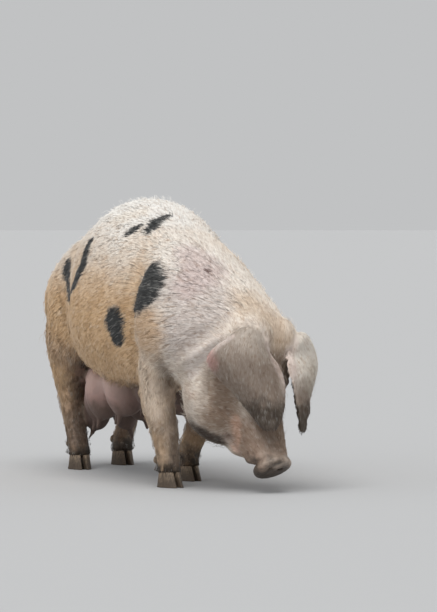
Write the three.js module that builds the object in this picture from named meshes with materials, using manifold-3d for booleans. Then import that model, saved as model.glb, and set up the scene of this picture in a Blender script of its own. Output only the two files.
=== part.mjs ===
// A lop-eared spotted sow standing with her head down to root, life size, in millimetres.
// +X runs forward along her loin, +Y to her left and +Z up. The floor is Z = 0.
// Each mass is a sphere grid drawn out along an axis, with its section set by named sizes.
// The masses are joined into one body, which is then parted into nodes by thin cuts.

import * as THREE from "three";
import { mergeVertices } from "three/addons/utils/BufferGeometryUtils.js";
import Module from "manifold-3d";

const wasm = await Module();
wasm.setup();

const { smoothstep, lerp, degToRad, clamp } = THREE.MathUtils;
const point = (x, y, z) => new THREE.Vector3(x, y, z);
const worldUp = point(0, 0, 1);

// ---------- Driving sizes ----------

const gap = 0.3; // clearance between neighbouring nodes
const farAway = 4000; // longer than the animal, for half spaces

const spine = {
  rear: -560, // buttocks
  front: 760, // where the neck ends inside the head
  bend: degToRad(30), // how far the forehand turns to the left
  bendFrom: 130,
  bendTo: 680,
};

const headPose = {
  from: 630, // the place on the spine that carries the head
  height: 446, // of the axis, level with the poll
  turn: degToRad(30), // heading, to the left of +X
  pitch: degToRad(79), // nose down
  lean: degToRad(5.5), // nose swung to the right of the poll
};

// ---------- Shared shape tools ----------

// Turns a three.js geometry into a manifold solid, facing outwards.
function solidOf(geometry) {
  const bare = geometry.clone();
  bare.deleteAttribute("normal");
  bare.deleteAttribute("uv");
  const merged = mergeVertices(bare, 1e-3);
  const triVerts = new Uint32Array(merged.index.array);
  const make = () =>
    new wasm.Manifold(
      new wasm.Mesh({
        numProp: 3,
        vertProperties: merged.attributes.position.array,
        triVerts,
      }),
    );
  const made = make();
  if (made.volume() > 0) return made;
  for (let i = 0; i < triVerts.length; i += 3) {
    [triVerts[i + 1], triVerts[i + 2]] = [triVerts[i + 2], triVerts[i + 1]];
  }
  return make();
}

function geometryOf(solid) {
  const mesh = solid.getMesh();
  const geometry = new THREE.BufferGeometry();
  geometry.setAttribute("position", new THREE.BufferAttribute(mesh.vertProperties, mesh.numProp));
  geometry.setIndex(new THREE.BufferAttribute(mesh.triVerts, 1));
  geometry.computeVertexNormals();
  return geometry;
}

// Reads one named size anywhere between the stations that list it, as a smooth curve through them.
function sizeAt(stations, name, s) {
  const last = stations.length - 1;
  if (s <= stations[0].s) return stations[0][name];
  if (s >= stations[last].s) return stations[last][name];
  const i = stations.findIndex((station) => station.s > s) - 1;
  const slope = (k) => {
    const before = stations[Math.max(k - 1, 0)];
    const after = stations[Math.min(k + 1, last)];
    return (after[name] - before[name]) / (after.s - before.s);
  };
  const [a, b] = [stations[i], stations[i + 1]];
  const span = b.s - a.s;
  const t = (s - a.s) / span;
  const [t2, t3] = [t * t, t * t * t];
  return (
    a[name] * (2 * t3 - 3 * t2 + 1) +
    slope(i) * span * (t3 - 2 * t2 + t) +
    b[name] * (3 * t2 - 2 * t3) +
    slope(i + 1) * span * (t3 - t2)
  );
}

// A unit superellipse: round at power 2, squarer above it.
function sectionPoint(angle, power) {
  const [c, s] = [Math.cos(angle), Math.sin(angle)];
  const bend = (value) => Math.sign(value) * Math.abs(value) ** (2 / power);
  return [bend(c), bend(s)];
}

// A closed mass along an axis. frameAt(s) gives { at, side, up }.
// The stations give half, over, under and power.
// startCap and endCap are the lengths over which each end rounds off.
function mass({ stations, frameAt, around, along, startCap, endCap, swell, crowd = 0.5, grow = 0 }) {
  const geometry = new THREE.SphereGeometry(1, around, along);
  const position = geometry.attributes.position;
  const first = stations[0].s - grow;
  const last = stations[stations.length - 1].s + grow;
  for (let i = 0; i < position.count; i += 1) {
    const v = Math.acos(clamp(position.getY(i), -1, 1)) / Math.PI;
    const angle = Math.atan2(position.getZ(i), position.getX(i));
    const t = v - (crowd * Math.sin(2 * Math.PI * v)) / (2 * Math.PI);
    const s = lerp(first, last, t);
    const dome = (distance, cap) => {
      const x = 1 - Math.min(Math.max(distance, 0) / cap, 1);
      return Math.sqrt(Math.max(1 - x * x, 0));
    };
    const closing = dome(s - first, startCap) * dome(last - s, endCap);
    const [c, z] = sectionPoint(angle, sizeAt(stations, "power", s));
    const { at, side, up } = frameAt(s);
    const lift = z > 0 ? sizeAt(stations, "over", s) : sizeAt(stations, "under", s);
    const extra = (swell ? swell(s, angle) : 0) + grow;
    const place = at
      .clone()
      .addScaledVector(side, closing * (sizeAt(stations, "half", s) * c + extra * Math.cos(angle)))
      .addScaledVector(up, closing * (lift * z + extra * Math.sin(angle)));
    position.setXYZ(i, place.x, place.y, place.z);
  }
  return solidOf(geometry);
}

// A rounded hump: 1 at the middle, 0 beyond its reach.
function hump(distance, reach) {
  const x = Math.min(Math.abs(distance) / reach, 1);
  return (1 - x * x) ** 2;
}

function angleBetween(a, b) {
  return Math.atan2(Math.sin(a - b), Math.cos(a - b));
}

function joined(solids) {
  return solids.reduce((all, one) => all.add(one));
}

// The half space in front of a plane, as one large box.
function halfSpace(at, normal) {
  const box = new THREE.BoxGeometry(farAway, farAway, farAway);
  box.translate(0, 0, farAway / 2);
  box.applyQuaternion(new THREE.Quaternion().setFromUnitVectors(worldUp, normal.clone().normalize()));
  box.translate(at.x, at.y, at.z);
  return solidOf(box);
}

function ball(centre, radii, across, high) {
  const geometry = new THREE.SphereGeometry(1, across, high);
  geometry.rotateX(Math.PI / 2);
  geometry.scale(radii.x, radii.y, radii.z);
  geometry.translate(centre.x, centre.y, centre.z);
  return solidOf(geometry);
}

// ---------- Spine, trunk and neck ----------

const spineStep = 5;
const spineTable = [];
{
  const at = { x: 0, y: 0 };
  const turnAt = (s) => spine.bend * smoothstep(s, spine.bendFrom, spine.bendTo);
  for (let s = 0; s <= spine.front + 100; s += spineStep) {
    spineTable.push({ s, x: at.x, y: at.y, turn: turnAt(s) });
    at.x += Math.cos(turnAt(s)) * spineStep;
    at.y += Math.sin(turnAt(s)) * spineStep;
  }
  const back = { x: 0, y: 0 };
  for (let s = -spineStep; s >= spine.rear - 100; s -= spineStep) {
    back.x -= Math.cos(turnAt(s)) * spineStep;
    back.y -= Math.sin(turnAt(s)) * spineStep;
    spineTable.unshift({ s, x: back.x, y: back.y, turn: turnAt(s) });
  }
}

// The midline at a distance s along it: where it is and which way it heads.
function spineAt(s) {
  const place = clamp((s - spineTable[0].s) / spineStep, 0, spineTable.length - 1.001);
  const [a, b] = [spineTable[Math.floor(place)], spineTable[Math.floor(place) + 1]];
  const t = place - Math.floor(place);
  return { x: lerp(a.x, b.x, t), y: lerp(a.y, b.y, t), turn: lerp(a.turn, b.turn, t) };
}

function spineFrame(s, height) {
  const { x, y, turn } = spineAt(s);
  return {
    at: point(x, y, height),
    side: point(-Math.sin(turn), Math.cos(turn), 0),
    up: worldUp,
    ahead: point(Math.cos(turn), Math.sin(turn), 0),
  };
}

// wide: the height at which the trunk is widest. top and bottom: its outline from the side.
const trunkSizes = [
  { s: -565, top: 612, wide: 525, bottom: 430, half: 132, power: 2 },
  { s: -500, top: 688, wide: 525, bottom: 375, half: 178, power: 2 },
  { s: -400, top: 742, wide: 525, bottom: 335, half: 202, power: 2.05 },
  { s: -300, top: 776, wide: 520, bottom: 310, half: 200, power: 2.1 },
  { s: -200, top: 810, wide: 515, bottom: 290, half: 206, power: 2.1 },
  { s: -90, top: 842, wide: 505, bottom: 270, half: 232, power: 2.1 },
  { s: 30, top: 854, wide: 500, bottom: 260, half: 251, power: 2.05 },
  { s: 150, top: 833, wide: 500, bottom: 264, half: 234, power: 2.05 },
  { s: 260, top: 798, wide: 500, bottom: 276, half: 204, power: 2.1 },
  { s: 340, top: 769, wide: 495, bottom: 284, half: 186, power: 2.1 },
  { s: 430, top: 724, wide: 480, bottom: 284, half: 188, power: 2.05 },
  { s: 520, top: 669, wide: 450, bottom: 266, half: 180, power: 2 },
  { s: 600, top: 611, wide: 425, bottom: 240, half: 164, power: 2 },
  { s: 670, top: 550, wide: 405, bottom: 225, half: 142, power: 2 },
  { s: 720, top: 496, wide: 390, bottom: 240, half: 118, power: 2 },
];
const trunkStations = trunkSizes.map(({ s, top, wide, bottom, half, power }) => ({
  s,
  wide,
  over: top - wide,
  under: wide - bottom,
  half,
  power,
}));

// Muscle that stands out from the barrel: the hams behind and the shoulder blades in front.
const muscles = [
  { s: -405, angle: -10, out: 12, behind: 170, ahead: 170, round: 75 },
  { s: 415, angle: -4, out: 34, behind: 80, ahead: 210, round: 64 },
];

function trunkSwell(s, angle) {
  return muscles.reduce((sum, muscle) => {
    const right = degToRad(muscle.angle);
    const nearest = Math.min(...[right, Math.PI - right].map((side) => Math.abs(angleBetween(angle, side))));
    const reach = s > muscle.s ? muscle.ahead : muscle.behind;
    return sum + muscle.out * hump(s - muscle.s, reach) * hump(nearest, degToRad(muscle.round));
  }, 0);
}

function makeTrunk(grow = 0) {
  return mass({
    stations: trunkStations,
    frameAt: (s) => spineFrame(s, sizeAt(trunkStations, "wide", s)),
    around: 28,
    along: 28,
    startCap: 130,
    endCap: 60,
    crowd: 0.35,
    swell: trunkSwell,
    grow,
  });
}

// ---------- Head ----------

const levelSide = point(-Math.sin(headPose.turn), Math.cos(headPose.turn), 0);
const straightAxis = point(
  Math.cos(headPose.turn) * Math.cos(headPose.pitch),
  Math.sin(headPose.turn) * Math.cos(headPose.pitch),
  -Math.sin(headPose.pitch),
);
const headUp = new THREE.Vector3().crossVectors(levelSide, straightAxis).negate();
const headAxis = straightAxis.clone().applyAxisAngle(headUp, -headPose.lean);
const headSide = levelSide.clone().applyAxisAngle(headUp, -headPose.lean);
const headRoot = spineFrame(headPose.from, headPose.height).at;

// A place on the head: along towards the nose, left of its middle, and out towards the forehead.
function onHead(along, left, out) {
  return headRoot
    .clone()
    .addScaledVector(headAxis, along)
    .addScaledVector(headSide, left)
    .addScaledVector(headUp, out);
}

// The face is dished: past the eyes the muzzle rises towards its tip.
const dish = { from: 170, to: 390, rise: 36 };
const muzzleRise = (s) => dish.rise * smoothstep(s, dish.from, dish.to);

const skullStations = [
  { s: -110, half: 96, over: 66, under: 120, power: 2 },
  { s: -40, half: 118, over: 90, under: 150, power: 2.1 },
  { s: 30, half: 126, over: 107, under: 165, power: 2.2 },
  { s: 90, half: 121, over: 95, under: 160, power: 2.2 },
  { s: 150, half: 105, over: 70, under: 126, power: 2.2 },
  { s: 215, half: 83, over: 56, under: 92, power: 2.2 },
  { s: 290, half: 67, over: 49, under: 88, power: 2.2 },
  { s: 350, half: 61, over: 46, under: 78, power: 2.1 },
  { s: 390, half: 58, over: 46, under: 62, power: 2.05 },
];

const jowlStations = [
  { s: 0, half: 120, over: 70, under: 134, power: 2.1 },
  { s: 75, half: 146, over: 90, under: 150, power: 2.2 },
  { s: 145, half: 150, over: 90, under: 134, power: 2.2 },
  { s: 220, half: 140, over: 80, under: 124, power: 2.2 },
  { s: 308, half: 100, over: 60, under: 92, power: 2.1 },
];
const jowlDrop = 95;

const jawStations = [
  { s: 120, half: 80, over: 30, under: 64, power: 2.1 },
  { s: 200, half: 70, over: 30, under: 60, power: 2.1 },
  { s: 275, half: 56, over: 28, under: 44, power: 2.1 },
  { s: 348, half: 46, over: 26, under: 32, power: 2.1 },
];
const jawDrop = [
  { s: 120, drop: 112 },
  { s: 200, drop: 104 },
  { s: 275, drop: 86 },
  { s: 348, drop: 58 },
];

const snout = { at: 386, out: 40, half: 61, deep: 56, thick: 26, tilt: degToRad(20) };
const nostril = { apart: 21, out: 6, half: 8, deep: 12, depth: 16 };

function makeSkull(grow = 0) {
  return mass({
    stations: skullStations,
    frameAt: (s) => ({ at: onHead(s, 0, muzzleRise(s)), side: headSide, up: headUp }),
    around: 20,
    along: 17,
    startCap: 60,
    endCap: 12,
    crowd: 0.2,
    grow,
  });
}

function makeJowl(grow = 0) {
  return mass({
    stations: jowlStations,
    frameAt: (s) => ({ at: onHead(s, 0, -jowlDrop), side: headSide, up: headUp }),
    around: 14,
    along: 10,
    startCap: 80,
    endCap: 78,
    grow,
  });
}

function makeJaw() {
  return mass({
    stations: jawStations,
    frameAt: (s) => ({ at: onHead(s, 0, -sizeAt(jawDrop, "drop", s)), side: headSide, up: headUp }),
    around: 10,
    along: 8,
    startCap: 50,
    endCap: 30,
  });
}

// Stands a geometry built along +Z on the end of the nose, facing out along it.
function onSnout(geometry, left, out, ahead) {
  const facing = headAxis.clone().applyAxisAngle(headSide, -snout.tilt);
  const upward = new THREE.Vector3().crossVectors(facing, headSide).normalize();
  if (upward.dot(headUp) < 0) upward.negate();
  const turned = new THREE.Matrix4().makeBasis(headSide, upward, facing);
  if (turned.determinant() < 0) turned.makeBasis(headSide.clone().negate(), upward, facing);
  const at = onHead(snout.at, 0, snout.out)
    .addScaledVector(headSide, left)
    .addScaledVector(upward, out)
    .addScaledVector(facing, ahead);
  return geometry.applyMatrix4(turned.setPosition(at));
}

// The gristly disc at the end of the nose: a short drum with a rolled rim.
function makeSnoutDisc() {
  const rim = [
    [0, -1],
    [0.86, -1],
    [0.98, -0.4],
    [1, 0.3],
    [0.95, 0.85],
    [0.84, 1],
    [0, 0.9],
  ].map(([r, z]) => new THREE.Vector2(r, (z * snout.thick) / 2));
  const disc = new THREE.LatheGeometry(rim, 16).rotateX(Math.PI / 2).scale(snout.half, snout.deep, 1);
  const holes = [-1, 1].map((left) => {
    const hole = new THREE.CylinderGeometry(1, 0.8, nostril.depth * 2, 8).rotateX(Math.PI / 2);
    hole.scale(nostril.half, nostril.deep, 1).rotateZ(left * -0.35);
    return solidOf(onSnout(hole, left * nostril.apart, nostril.out, snout.thick / 2));
  });
  return { disc: solidOf(onSnout(disc, 0, 0, 0)), holes };
}

// ---------- Eyes ----------

const eye = { radius: 15, along: 130, left: 86, out: 38 };

function eyeBall(left, radius) {
  const geometry = new THREE.SphereGeometry(radius, 9, 6);
  const at = onHead(eye.along, left * eye.left, eye.out);
  return solidOf(geometry.translate(at.x, at.y, at.z));
}

// ---------- Ears ----------

// Each ear is a cupped leaf that flops forward from the poll and covers the eye.
// along: down the head. back: towards the jowl. out: away from the head, square to the leaf.
const earSizes = [
  { s: 0, along: 34, back: 0, out: 74, half: 28 },
  { s: 0.08, along: 4, back: 6, out: 112, half: 34 },
  { s: 0.15, along: -12, back: 14, out: 144, half: 44 },
  { s: 0.23, along: 4, back: 32, out: 172, half: 68 },
  { s: 0.33, along: 42, back: 50, out: 188, half: 88 },
  { s: 0.48, along: 92, back: 46, out: 190, half: 100 },
  { s: 0.64, along: 150, back: 20, out: 174, half: 97 },
  { s: 0.78, along: 206, back: -9, out: 152, half: 70 },
  { s: 0.9, along: 254, back: -22, out: 138, half: 46 },
  { s: 1, along: 292, back: -24, out: 132, half: 21 },
];
// facing: between straight ahead and straight out. cup: how far the rims bend in, the front one by frontCup.
// curl: the share of its width that an ear keeps at its tip, where the left one is rolled.
const ear = {
  thick: 11,
  facing: degToRad(45),
  cup: 72,
  frontCup: { right: 72, left: 98 },
  curl: { from: 0.55, to: 0.85, right: 1, left: 0.72 },
};
const earBase = { along: 12, back: 8, out: { right: 100, left: 88 }, length: 74, width: 66, height: 54 };

// The way an ear stands off the head, and the way its hind rim faces.
function earWays(left) {
  const [c, s] = [Math.cos(ear.facing), Math.sin(ear.facing)];
  const outward = headUp.clone().multiplyScalar(c).addScaledVector(headSide, left * s);
  const backward = headUp.clone().multiplyScalar(-s).addScaledVector(headSide, left * c);
  return { outward, backward };
}

// The swelling of the poll that an ear grows from.
function makeEarBase(left, grow = 0) {
  const { outward, backward } = earWays(left);
  const geometry = new THREE.SphereGeometry(1, 9, 6);
  geometry.scale(earBase.length + grow, earBase.width + grow, earBase.height + grow);
  const turned = new THREE.Matrix4().makeBasis(headAxis, backward, outward);
  if (turned.determinant() < 0) turned.makeBasis(headAxis, backward.clone().negate(), outward);
  const at = onHead(earBase.along, 0, 0)
    .addScaledVector(backward, earBase.back)
    .addScaledVector(outward, left > 0 ? earBase.out.left : earBase.out.right);
  return solidOf(geometry.applyMatrix4(turned.setPosition(at)));
}

function makeEar(left) {
  const { outward, backward } = earWays(left);
  const frontCup = left > 0 ? ear.frontCup.left : ear.frontCup.right;
  const tipShare = left > 0 ? ear.curl.left : ear.curl.right;
  const middleAt = (u) =>
    onHead(sizeAt(earSizes, "along", u), 0, 0)
      .addScaledVector(backward, sizeAt(earSizes, "back", u))
      .addScaledVector(outward, sizeAt(earSizes, "out", u));
  const geometry = new THREE.BoxGeometry(1, 1, 1, 6, 11, 1);
  const position = geometry.attributes.position;
  for (let i = 0; i < position.count; i += 1) {
    const v = position.getX(i) * 2;
    const u = position.getY(i) + 0.5;
    const face = position.getZ(i) * 2;
    const tangent = middleAt(Math.min(u + 0.01, 1)).sub(middleAt(Math.max(u - 0.01, 0))).normalize();
    const out = new THREE.Vector3().crossVectors(backward, tangent).multiplyScalar(-left).normalize();
    const half = sizeAt(earSizes, "half", u) * lerp(1, tipShare, smoothstep(u, ear.curl.from, ear.curl.to));
    const thin = ear.thick * (1 - 0.45 * v * v) * (1 - 0.3 * u);
    const place = middleAt(u)
      .addScaledVector(backward, v * half)
      .addScaledVector(out, -(v < 0 ? frontCup : ear.cup) * v * v * (half / 100) + (face * thin) / 2);
    position.setXYZ(i, place.x, place.y, place.z);
  }
  return solidOf(geometry);
}

// ---------- Legs ----------

// A leg's axis runs down through these joints. half: half its width from side to side. fore, aft: its depth.
const forelegSizes = [
  { name: "shoulder", height: 470, half: 70, fore: 84, aft: 84 },
  { name: "elbow", height: 345, half: 66, fore: 72, aft: 74 },
  { name: "forearm", height: 258, half: 50, fore: 54, aft: 56 },
  { name: "knee", height: 170, half: 44, fore: 43, aft: 40 },
  { name: "cannon", height: 120, half: 39, fore: 35, aft: 36 },
  { name: "fetlock", height: 76, half: 37, fore: 34, aft: 38 },
  { name: "pastern", height: 20, half: 33, fore: 29, aft: 32 },
];
const hindlegSizes = [
  { name: "thigh", height: 520, half: 98, fore: 140, aft: 120 },
  { name: "stifle", height: 395, half: 80, fore: 118, aft: 104 },
  { name: "gaskin", height: 290, half: 55, fore: 66, aft: 68 },
  { name: "hock", height: 205, half: 38, fore: 42, aft: 50 },
  { name: "shank", height: 130, half: 35, fore: 33, aft: 37 },
  { name: "fetlock", height: 76, half: 35, fore: 33, aft: 39 },
  { name: "pastern", height: 20, half: 32, fore: 29, aft: 32 },
];

// Where each joint stands, level by level: forward (x) and left (y).
const legs = {
  foreleg_right: {
    sizes: forelegSizes,
    x: [395, 390, 392, 402, 408, 414, 422],
    y: [-98, -100, -103, -86, -79, -75, -76],
    turn: degToRad(14),
  },
  foreleg_left: {
    sizes: forelegSizes,
    x: [345, 304, 268, 230, 212, 194, 198],
    y: [118, 116, 104, 84, 70, 60, 58],
    turn: degToRad(12),
  },
  hindleg_right: {
    sizes: hindlegSizes,
    x: [-400, -395, -410, -424, -396, -368, -352],
    y: [-106, -129, -128, -121, -118, -117, -117],
    turn: degToRad(0),
  },
  hindleg_left: {
    sizes: hindlegSizes,
    x: [-430, -445, -490, -545, -530, -510, -496],
    y: [112, 124, 120, 113, 95, 74, 68],
    turn: degToRad(4),
  },
};

const ankleCut = 46; // height at which the skin ends and the horn begins

function legFrame(leg) {
  const joints = leg.sizes.map((size, i) => ({ s: -size.height, x: leg.x[i], y: leg.y[i] }));
  const side = point(-Math.sin(leg.turn), Math.cos(leg.turn), 0);
  const up = point(Math.cos(leg.turn), Math.sin(leg.turn), 0);
  return (s) => ({ at: point(sizeAt(joints, "x", s), sizeAt(joints, "y", s), -s), side, up });
}

function makeLeg(leg, grow = 0) {
  return mass({
    stations: leg.sizes.map(({ height, half, fore, aft }) => ({
      s: -height,
      half,
      over: fore,
      under: aft,
      power: 2.15,
    })),
    frameAt: legFrame(leg),
    around: 12,
    along: 12,
    startCap: 70,
    endCap: 4,
    crowd: 0.35,
    grow,
  }).intersect(halfSpace(point(0, 0, ankleCut), worldUp));
}

// ---------- Hooves ----------

const hoof = {
  wide: 36, // one claw, at the floor
  toe: 56, // how far it reaches ahead, at the floor
  heel: 33, // how far it reaches behind
  split: 4, // between the two claws
  ahead: 6, // of the middle of the ankle
  square: 2.1, // the power of its outline
  draw: 0.62, // the share of its width that the toe loses
  toeSlope: 0.55, // how far the front wall falls back for each millimetre up
  heelSlope: 0.12,
  taper: 0.14, // the share of its width that it loses at the top
};
const dewclaw = { length: 26, width: 20, height: 32, back: 34, apart: 21, raise: 80 };

// One claw of a cloven hoof: flat on the floor, pointed at the toe, its front wall sloping back.
function makeClaw(leg, side) {
  const high = ankleCut - gap;
  const geometry = new THREE.CylinderGeometry(1, 1, high, 10, 2).rotateX(Math.PI / 2);
  const position = geometry.attributes.position;
  for (let i = 0; i < position.count; i += 1) {
    const radius = Math.hypot(position.getX(i), position.getY(i));
    const [x, out] = sectionPoint(Math.atan2(position.getY(i) * side, position.getX(i)), hoof.square);
    const z = position.getZ(i) + high / 2;
    const reach = x > 0 ? hoof.toe - hoof.toeSlope * z : hoof.heel - hoof.heelSlope * z;
    const wide = hoof.wide * (1 - hoof.draw * Math.max(x, 0) ** 2) * (1 - (hoof.taper * z) / high);
    const across = hoof.split / 2 + (wide * (1 + radius * out)) / 2;
    position.setXYZ(i, hoof.ahead + radius * x * reach, side * across, z);
  }
  const foot = legFrame(leg)(-ankleCut).at;
  geometry.rotateZ(leg.turn);
  geometry.translate(foot.x, foot.y, 0);
  return solidOf(geometry);
}

// A small claw behind and above the hoof, clear of the floor.
function makeDewclaw(leg, side) {
  const geometry = new THREE.SphereGeometry(1, 6, 4);
  geometry.scale(dewclaw.length / 2, dewclaw.width / 2, dewclaw.height / 2);
  geometry.rotateY(degToRad(30));
  geometry.translate(-dewclaw.back, side * dewclaw.apart, dewclaw.raise);
  geometry.rotateZ(leg.turn);
  const foot = legFrame(leg)(-dewclaw.raise).at;
  geometry.translate(foot.x, foot.y, 0);
  return solidOf(geometry);
}

// ---------- Udder ----------

// Two rows of glands, from the groin forward. apart: from the midline. low: the height it hangs to.
const glands = [
  { s: -392, apart: 48, low: 116, radius: 55 },
  { s: -300, apart: 68, low: 150, radius: 60 },
  { s: -190, apart: 84, low: 162, radius: 76 },
  { s: -84, apart: 62, low: 182, radius: 60 },
  { s: 36, apart: 86, low: 184, radius: 86 },
  { s: 138, apart: 54, low: 222, radius: 44 },
];
const udderBed = [
  { s: -430, half: 60, over: 60, under: 45, power: 2.2 },
  { s: -300, half: 120, over: 60, under: 70, power: 2.2 },
  { s: -100, half: 125, over: 60, under: 60, power: 2.2 },
  { s: 60, half: 110, over: 60, under: 45, power: 2.2 },
  { s: 170, half: 80, over: 60, under: 26, power: 2.2 },
];
const bedHeight = 285;
const teat = { long: 34, radius: 7.5, splay: degToRad(14) };

function glandCentre(gland, side) {
  const { at, side: left } = spineFrame(gland.s, gland.low + gland.radius * 1.2);
  return at.addScaledVector(left, side * gland.apart);
}

function makeTeat(gland, side) {
  const profile = [
    [0, -teat.long],
    [0.85, -teat.long * 0.9],
    [0.9, -teat.long * 0.4],
    [1.7, teat.long * 0.6],
    [0, teat.long * 0.65],
  ].map(([r, z]) => new THREE.Vector2(r * teat.radius, z));
  const geometry = new THREE.LatheGeometry(profile, 6);
  geometry.rotateX(Math.PI / 2);
  geometry.rotateX(side * teat.splay);
  const centre = glandCentre(gland, side);
  geometry.translate(centre.x, centre.y + side * gland.radius * 0.25, centre.z - gland.radius * 1.14);
  return solidOf(geometry);
}

function makeUdder() {
  const bed = mass({
    stations: udderBed,
    frameAt: (s) => spineFrame(s, bedHeight),
    around: 12,
    along: 9,
    startCap: 60,
    endCap: 60,
  });
  const parts = [bed];
  for (const gland of glands) {
    for (const side of [-1, 1]) {
      const { radius } = gland;
      const radii = point(radius * 0.96, radius * 0.92, radius * 1.2);
      parts.push(ball(glandCentre(gland, side), radii, 9, 6));
      parts.push(makeTeat(gland, side));
    }
  }
  return joined(parts);
}

// ---------- Tail ----------

function makeTail() {
  const { at, side, ahead } = spineFrame(spine.rear + 20, 640);
  const step = (back, left, drop) =>
    at.clone().addScaledVector(ahead, -back).addScaledVector(side, left).addScaledVector(worldUp, -drop);
  const path = new THREE.CatmullRomCurve3([
    step(-20, 0, 10),
    step(22, 2, 16),
    step(44, 16, 60),
    step(34, 34, 110),
    step(30, 22, 160),
    step(38, 4, 205),
  ]);
  const stations = [
    { s: 0, half: 21, over: 21, under: 21, power: 2 },
    { s: 0.35, half: 14, over: 14, under: 14, power: 2 },
    { s: 0.8, half: 8, over: 8, under: 8, power: 2 },
    { s: 1, half: 6, over: 6, under: 6, power: 2 },
  ];
  return mass({
    stations,
    frameAt: (s) => {
      const tangent = path.getTangent(clamp(s, 0, 1));
      const wide = new THREE.Vector3().crossVectors(tangent, point(0.3, 1, 0.1)).normalize();
      const up = new THREE.Vector3().crossVectors(tangent, wide);
      return { at: path.getPoint(clamp(s, 0, 1)), side: wide, up };
    },
    around: 7,
    along: 13,
    startCap: 0.04,
    endCap: 0.08,
    crowd: 0,
  });
}

// ---------- Colours ----------

const finish = (color, roughness) => new THREE.MeshStandardMaterial({ color, roughness, metalness: 0 });
const hide = finish(0xd9c4a6, 0.85);
const bareSkin = finish(0xb98a7c, 0.7);
const horn = finish(0x5b4a3c, 0.6);
const eyeball = finish(0x2a1c14, 0.15);

// ---------- Assembly ----------

const pig = new THREE.Group();

function addNode(name, solid, material) {
  const mesh = new THREE.Mesh(geometryOf(solid), material);
  mesh.name = name;
  pig.add(mesh);
}

const trunkMass = makeTrunk();
const earBases = (grow) => [-1, 1].map((left) => makeEarBase(left, grow));
const grownBody = joined([makeTrunk(gap), makeSkull(gap), makeJowl(gap), ...earBases(gap)]);
const snoutParts = makeSnoutDisc();
const headMass = joined([makeSkull(), makeJaw(), makeJowl(), ...earBases(0), snoutParts.disc]);
const legMasses = Object.fromEntries(Object.entries(legs).map(([name, leg]) => [name, makeLeg(leg)]));

// Cuts, each a plane.
const neckCut = (() => {
  const { at, ahead } = spineFrame(520, 470);
  return { at, normal: ahead.clone().addScaledVector(worldUp, -0.25).normalize() };
})();
const throatCut = {
  at: onHead(-52, 0, 0),
  normal: headAxis.clone().addScaledVector(headUp, 0.55).normalize(),
};
const legCuts = {
  foreleg_right: { height: 330, lean: point(0, -0.35, -1) },
  foreleg_left: { height: 330, lean: point(0, 0.35, -1) },
  hindleg_right: { height: 380, lean: point(0, -0.5, -1) },
  hindleg_left: { height: 380, lean: point(0, 0.5, -1) },
};

const forehand = trunkMass.add(headMass);
const grownLegs = joined(Object.values(legs).map((leg) => makeLeg(leg, gap)));
const beyond = ({ at, normal }, shift) => halfSpace(at.clone().addScaledVector(normal, shift), normal);

const head = [...snoutParts.holes, eyeBall(-1, eye.radius + gap), eyeBall(1, eye.radius + gap)].reduce(
  (whole, hole) => whole.subtract(hole),
  forehand.intersect(beyond(throatCut, gap)).intersect(beyond(neckCut, gap)),
);
const neck = forehand.subtract(beyond(throatCut, 0)).intersect(beyond(neckCut, gap));
let trunk = trunkMass;
for (const [name, leg] of Object.entries(legMasses)) {
  const { height, lean } = legCuts[name];
  const normal = lean.clone().normalize();
  const at = legFrame(legs[name])(-height).at;
  addNode(name, leg.intersect(beyond({ at, normal }, gap)).subtract(makeTrunk(gap)), hide);
  trunk = trunk.add(leg.subtract(beyond({ at, normal }, 0)));
}
trunk = trunk.subtract(beyond(neckCut, 0));
addNode("trunk", trunk, hide);
addNode("neck", neck, hide);
addNode("head", head, hide);
for (const [name, left] of [["left", 1], ["right", -1]]) {
  addNode(`ear_${name}`, makeEar(left).subtract(grownBody), hide);
  addNode(`eye_${name}`, eyeBall(left, eye.radius), eyeball);
}
addNode("udder", makeUdder().subtract(makeTrunk(gap)).subtract(grownLegs), bareSkin);
addNode("tail", makeTail().subtract(makeTrunk(gap)), hide);
for (const [name, leg] of Object.entries(legs)) {
  const outside = name.endsWith("left") ? 1 : -1;
  for (const [place, side] of [["outer", outside], ["inner", -outside]]) {
    addNode(`claw_${place}_${name}`, makeClaw(leg, side), horn);
    addNode(`dewclaw_${place}_${name}`, makeDewclaw(leg, side).subtract(makeLeg(leg, gap)), horn);
  }
}

// The origin stands on the floor, in the middle of the animal's outline seen from above.
const box = new THREE.Box3().setFromObject(pig);
const middle = box.getCenter(point(0, 0, 0));
for (const mesh of pig.children) mesh.geometry.translate(-middle.x, -middle.y, -box.min.z);

export default pig;
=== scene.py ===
# A lop-eared, spotted sow rooting with her head down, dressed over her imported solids.
import math

import bmesh
import bpy
import numpy as np
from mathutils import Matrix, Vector
from mathutils.kdtree import KDTree


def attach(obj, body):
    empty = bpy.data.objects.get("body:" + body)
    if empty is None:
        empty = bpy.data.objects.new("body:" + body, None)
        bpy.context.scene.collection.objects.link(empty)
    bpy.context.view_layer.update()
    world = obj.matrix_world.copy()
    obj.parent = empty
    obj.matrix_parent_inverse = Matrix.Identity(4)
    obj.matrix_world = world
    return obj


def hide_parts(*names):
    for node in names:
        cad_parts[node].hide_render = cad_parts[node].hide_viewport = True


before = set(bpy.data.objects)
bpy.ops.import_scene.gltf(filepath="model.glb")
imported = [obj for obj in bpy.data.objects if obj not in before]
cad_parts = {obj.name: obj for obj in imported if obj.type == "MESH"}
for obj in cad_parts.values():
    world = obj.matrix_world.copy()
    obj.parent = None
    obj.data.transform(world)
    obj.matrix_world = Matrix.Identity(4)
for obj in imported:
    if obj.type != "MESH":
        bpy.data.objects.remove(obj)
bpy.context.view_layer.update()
scene = bpy.context.scene
dice = np.random.default_rng(7)

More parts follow.
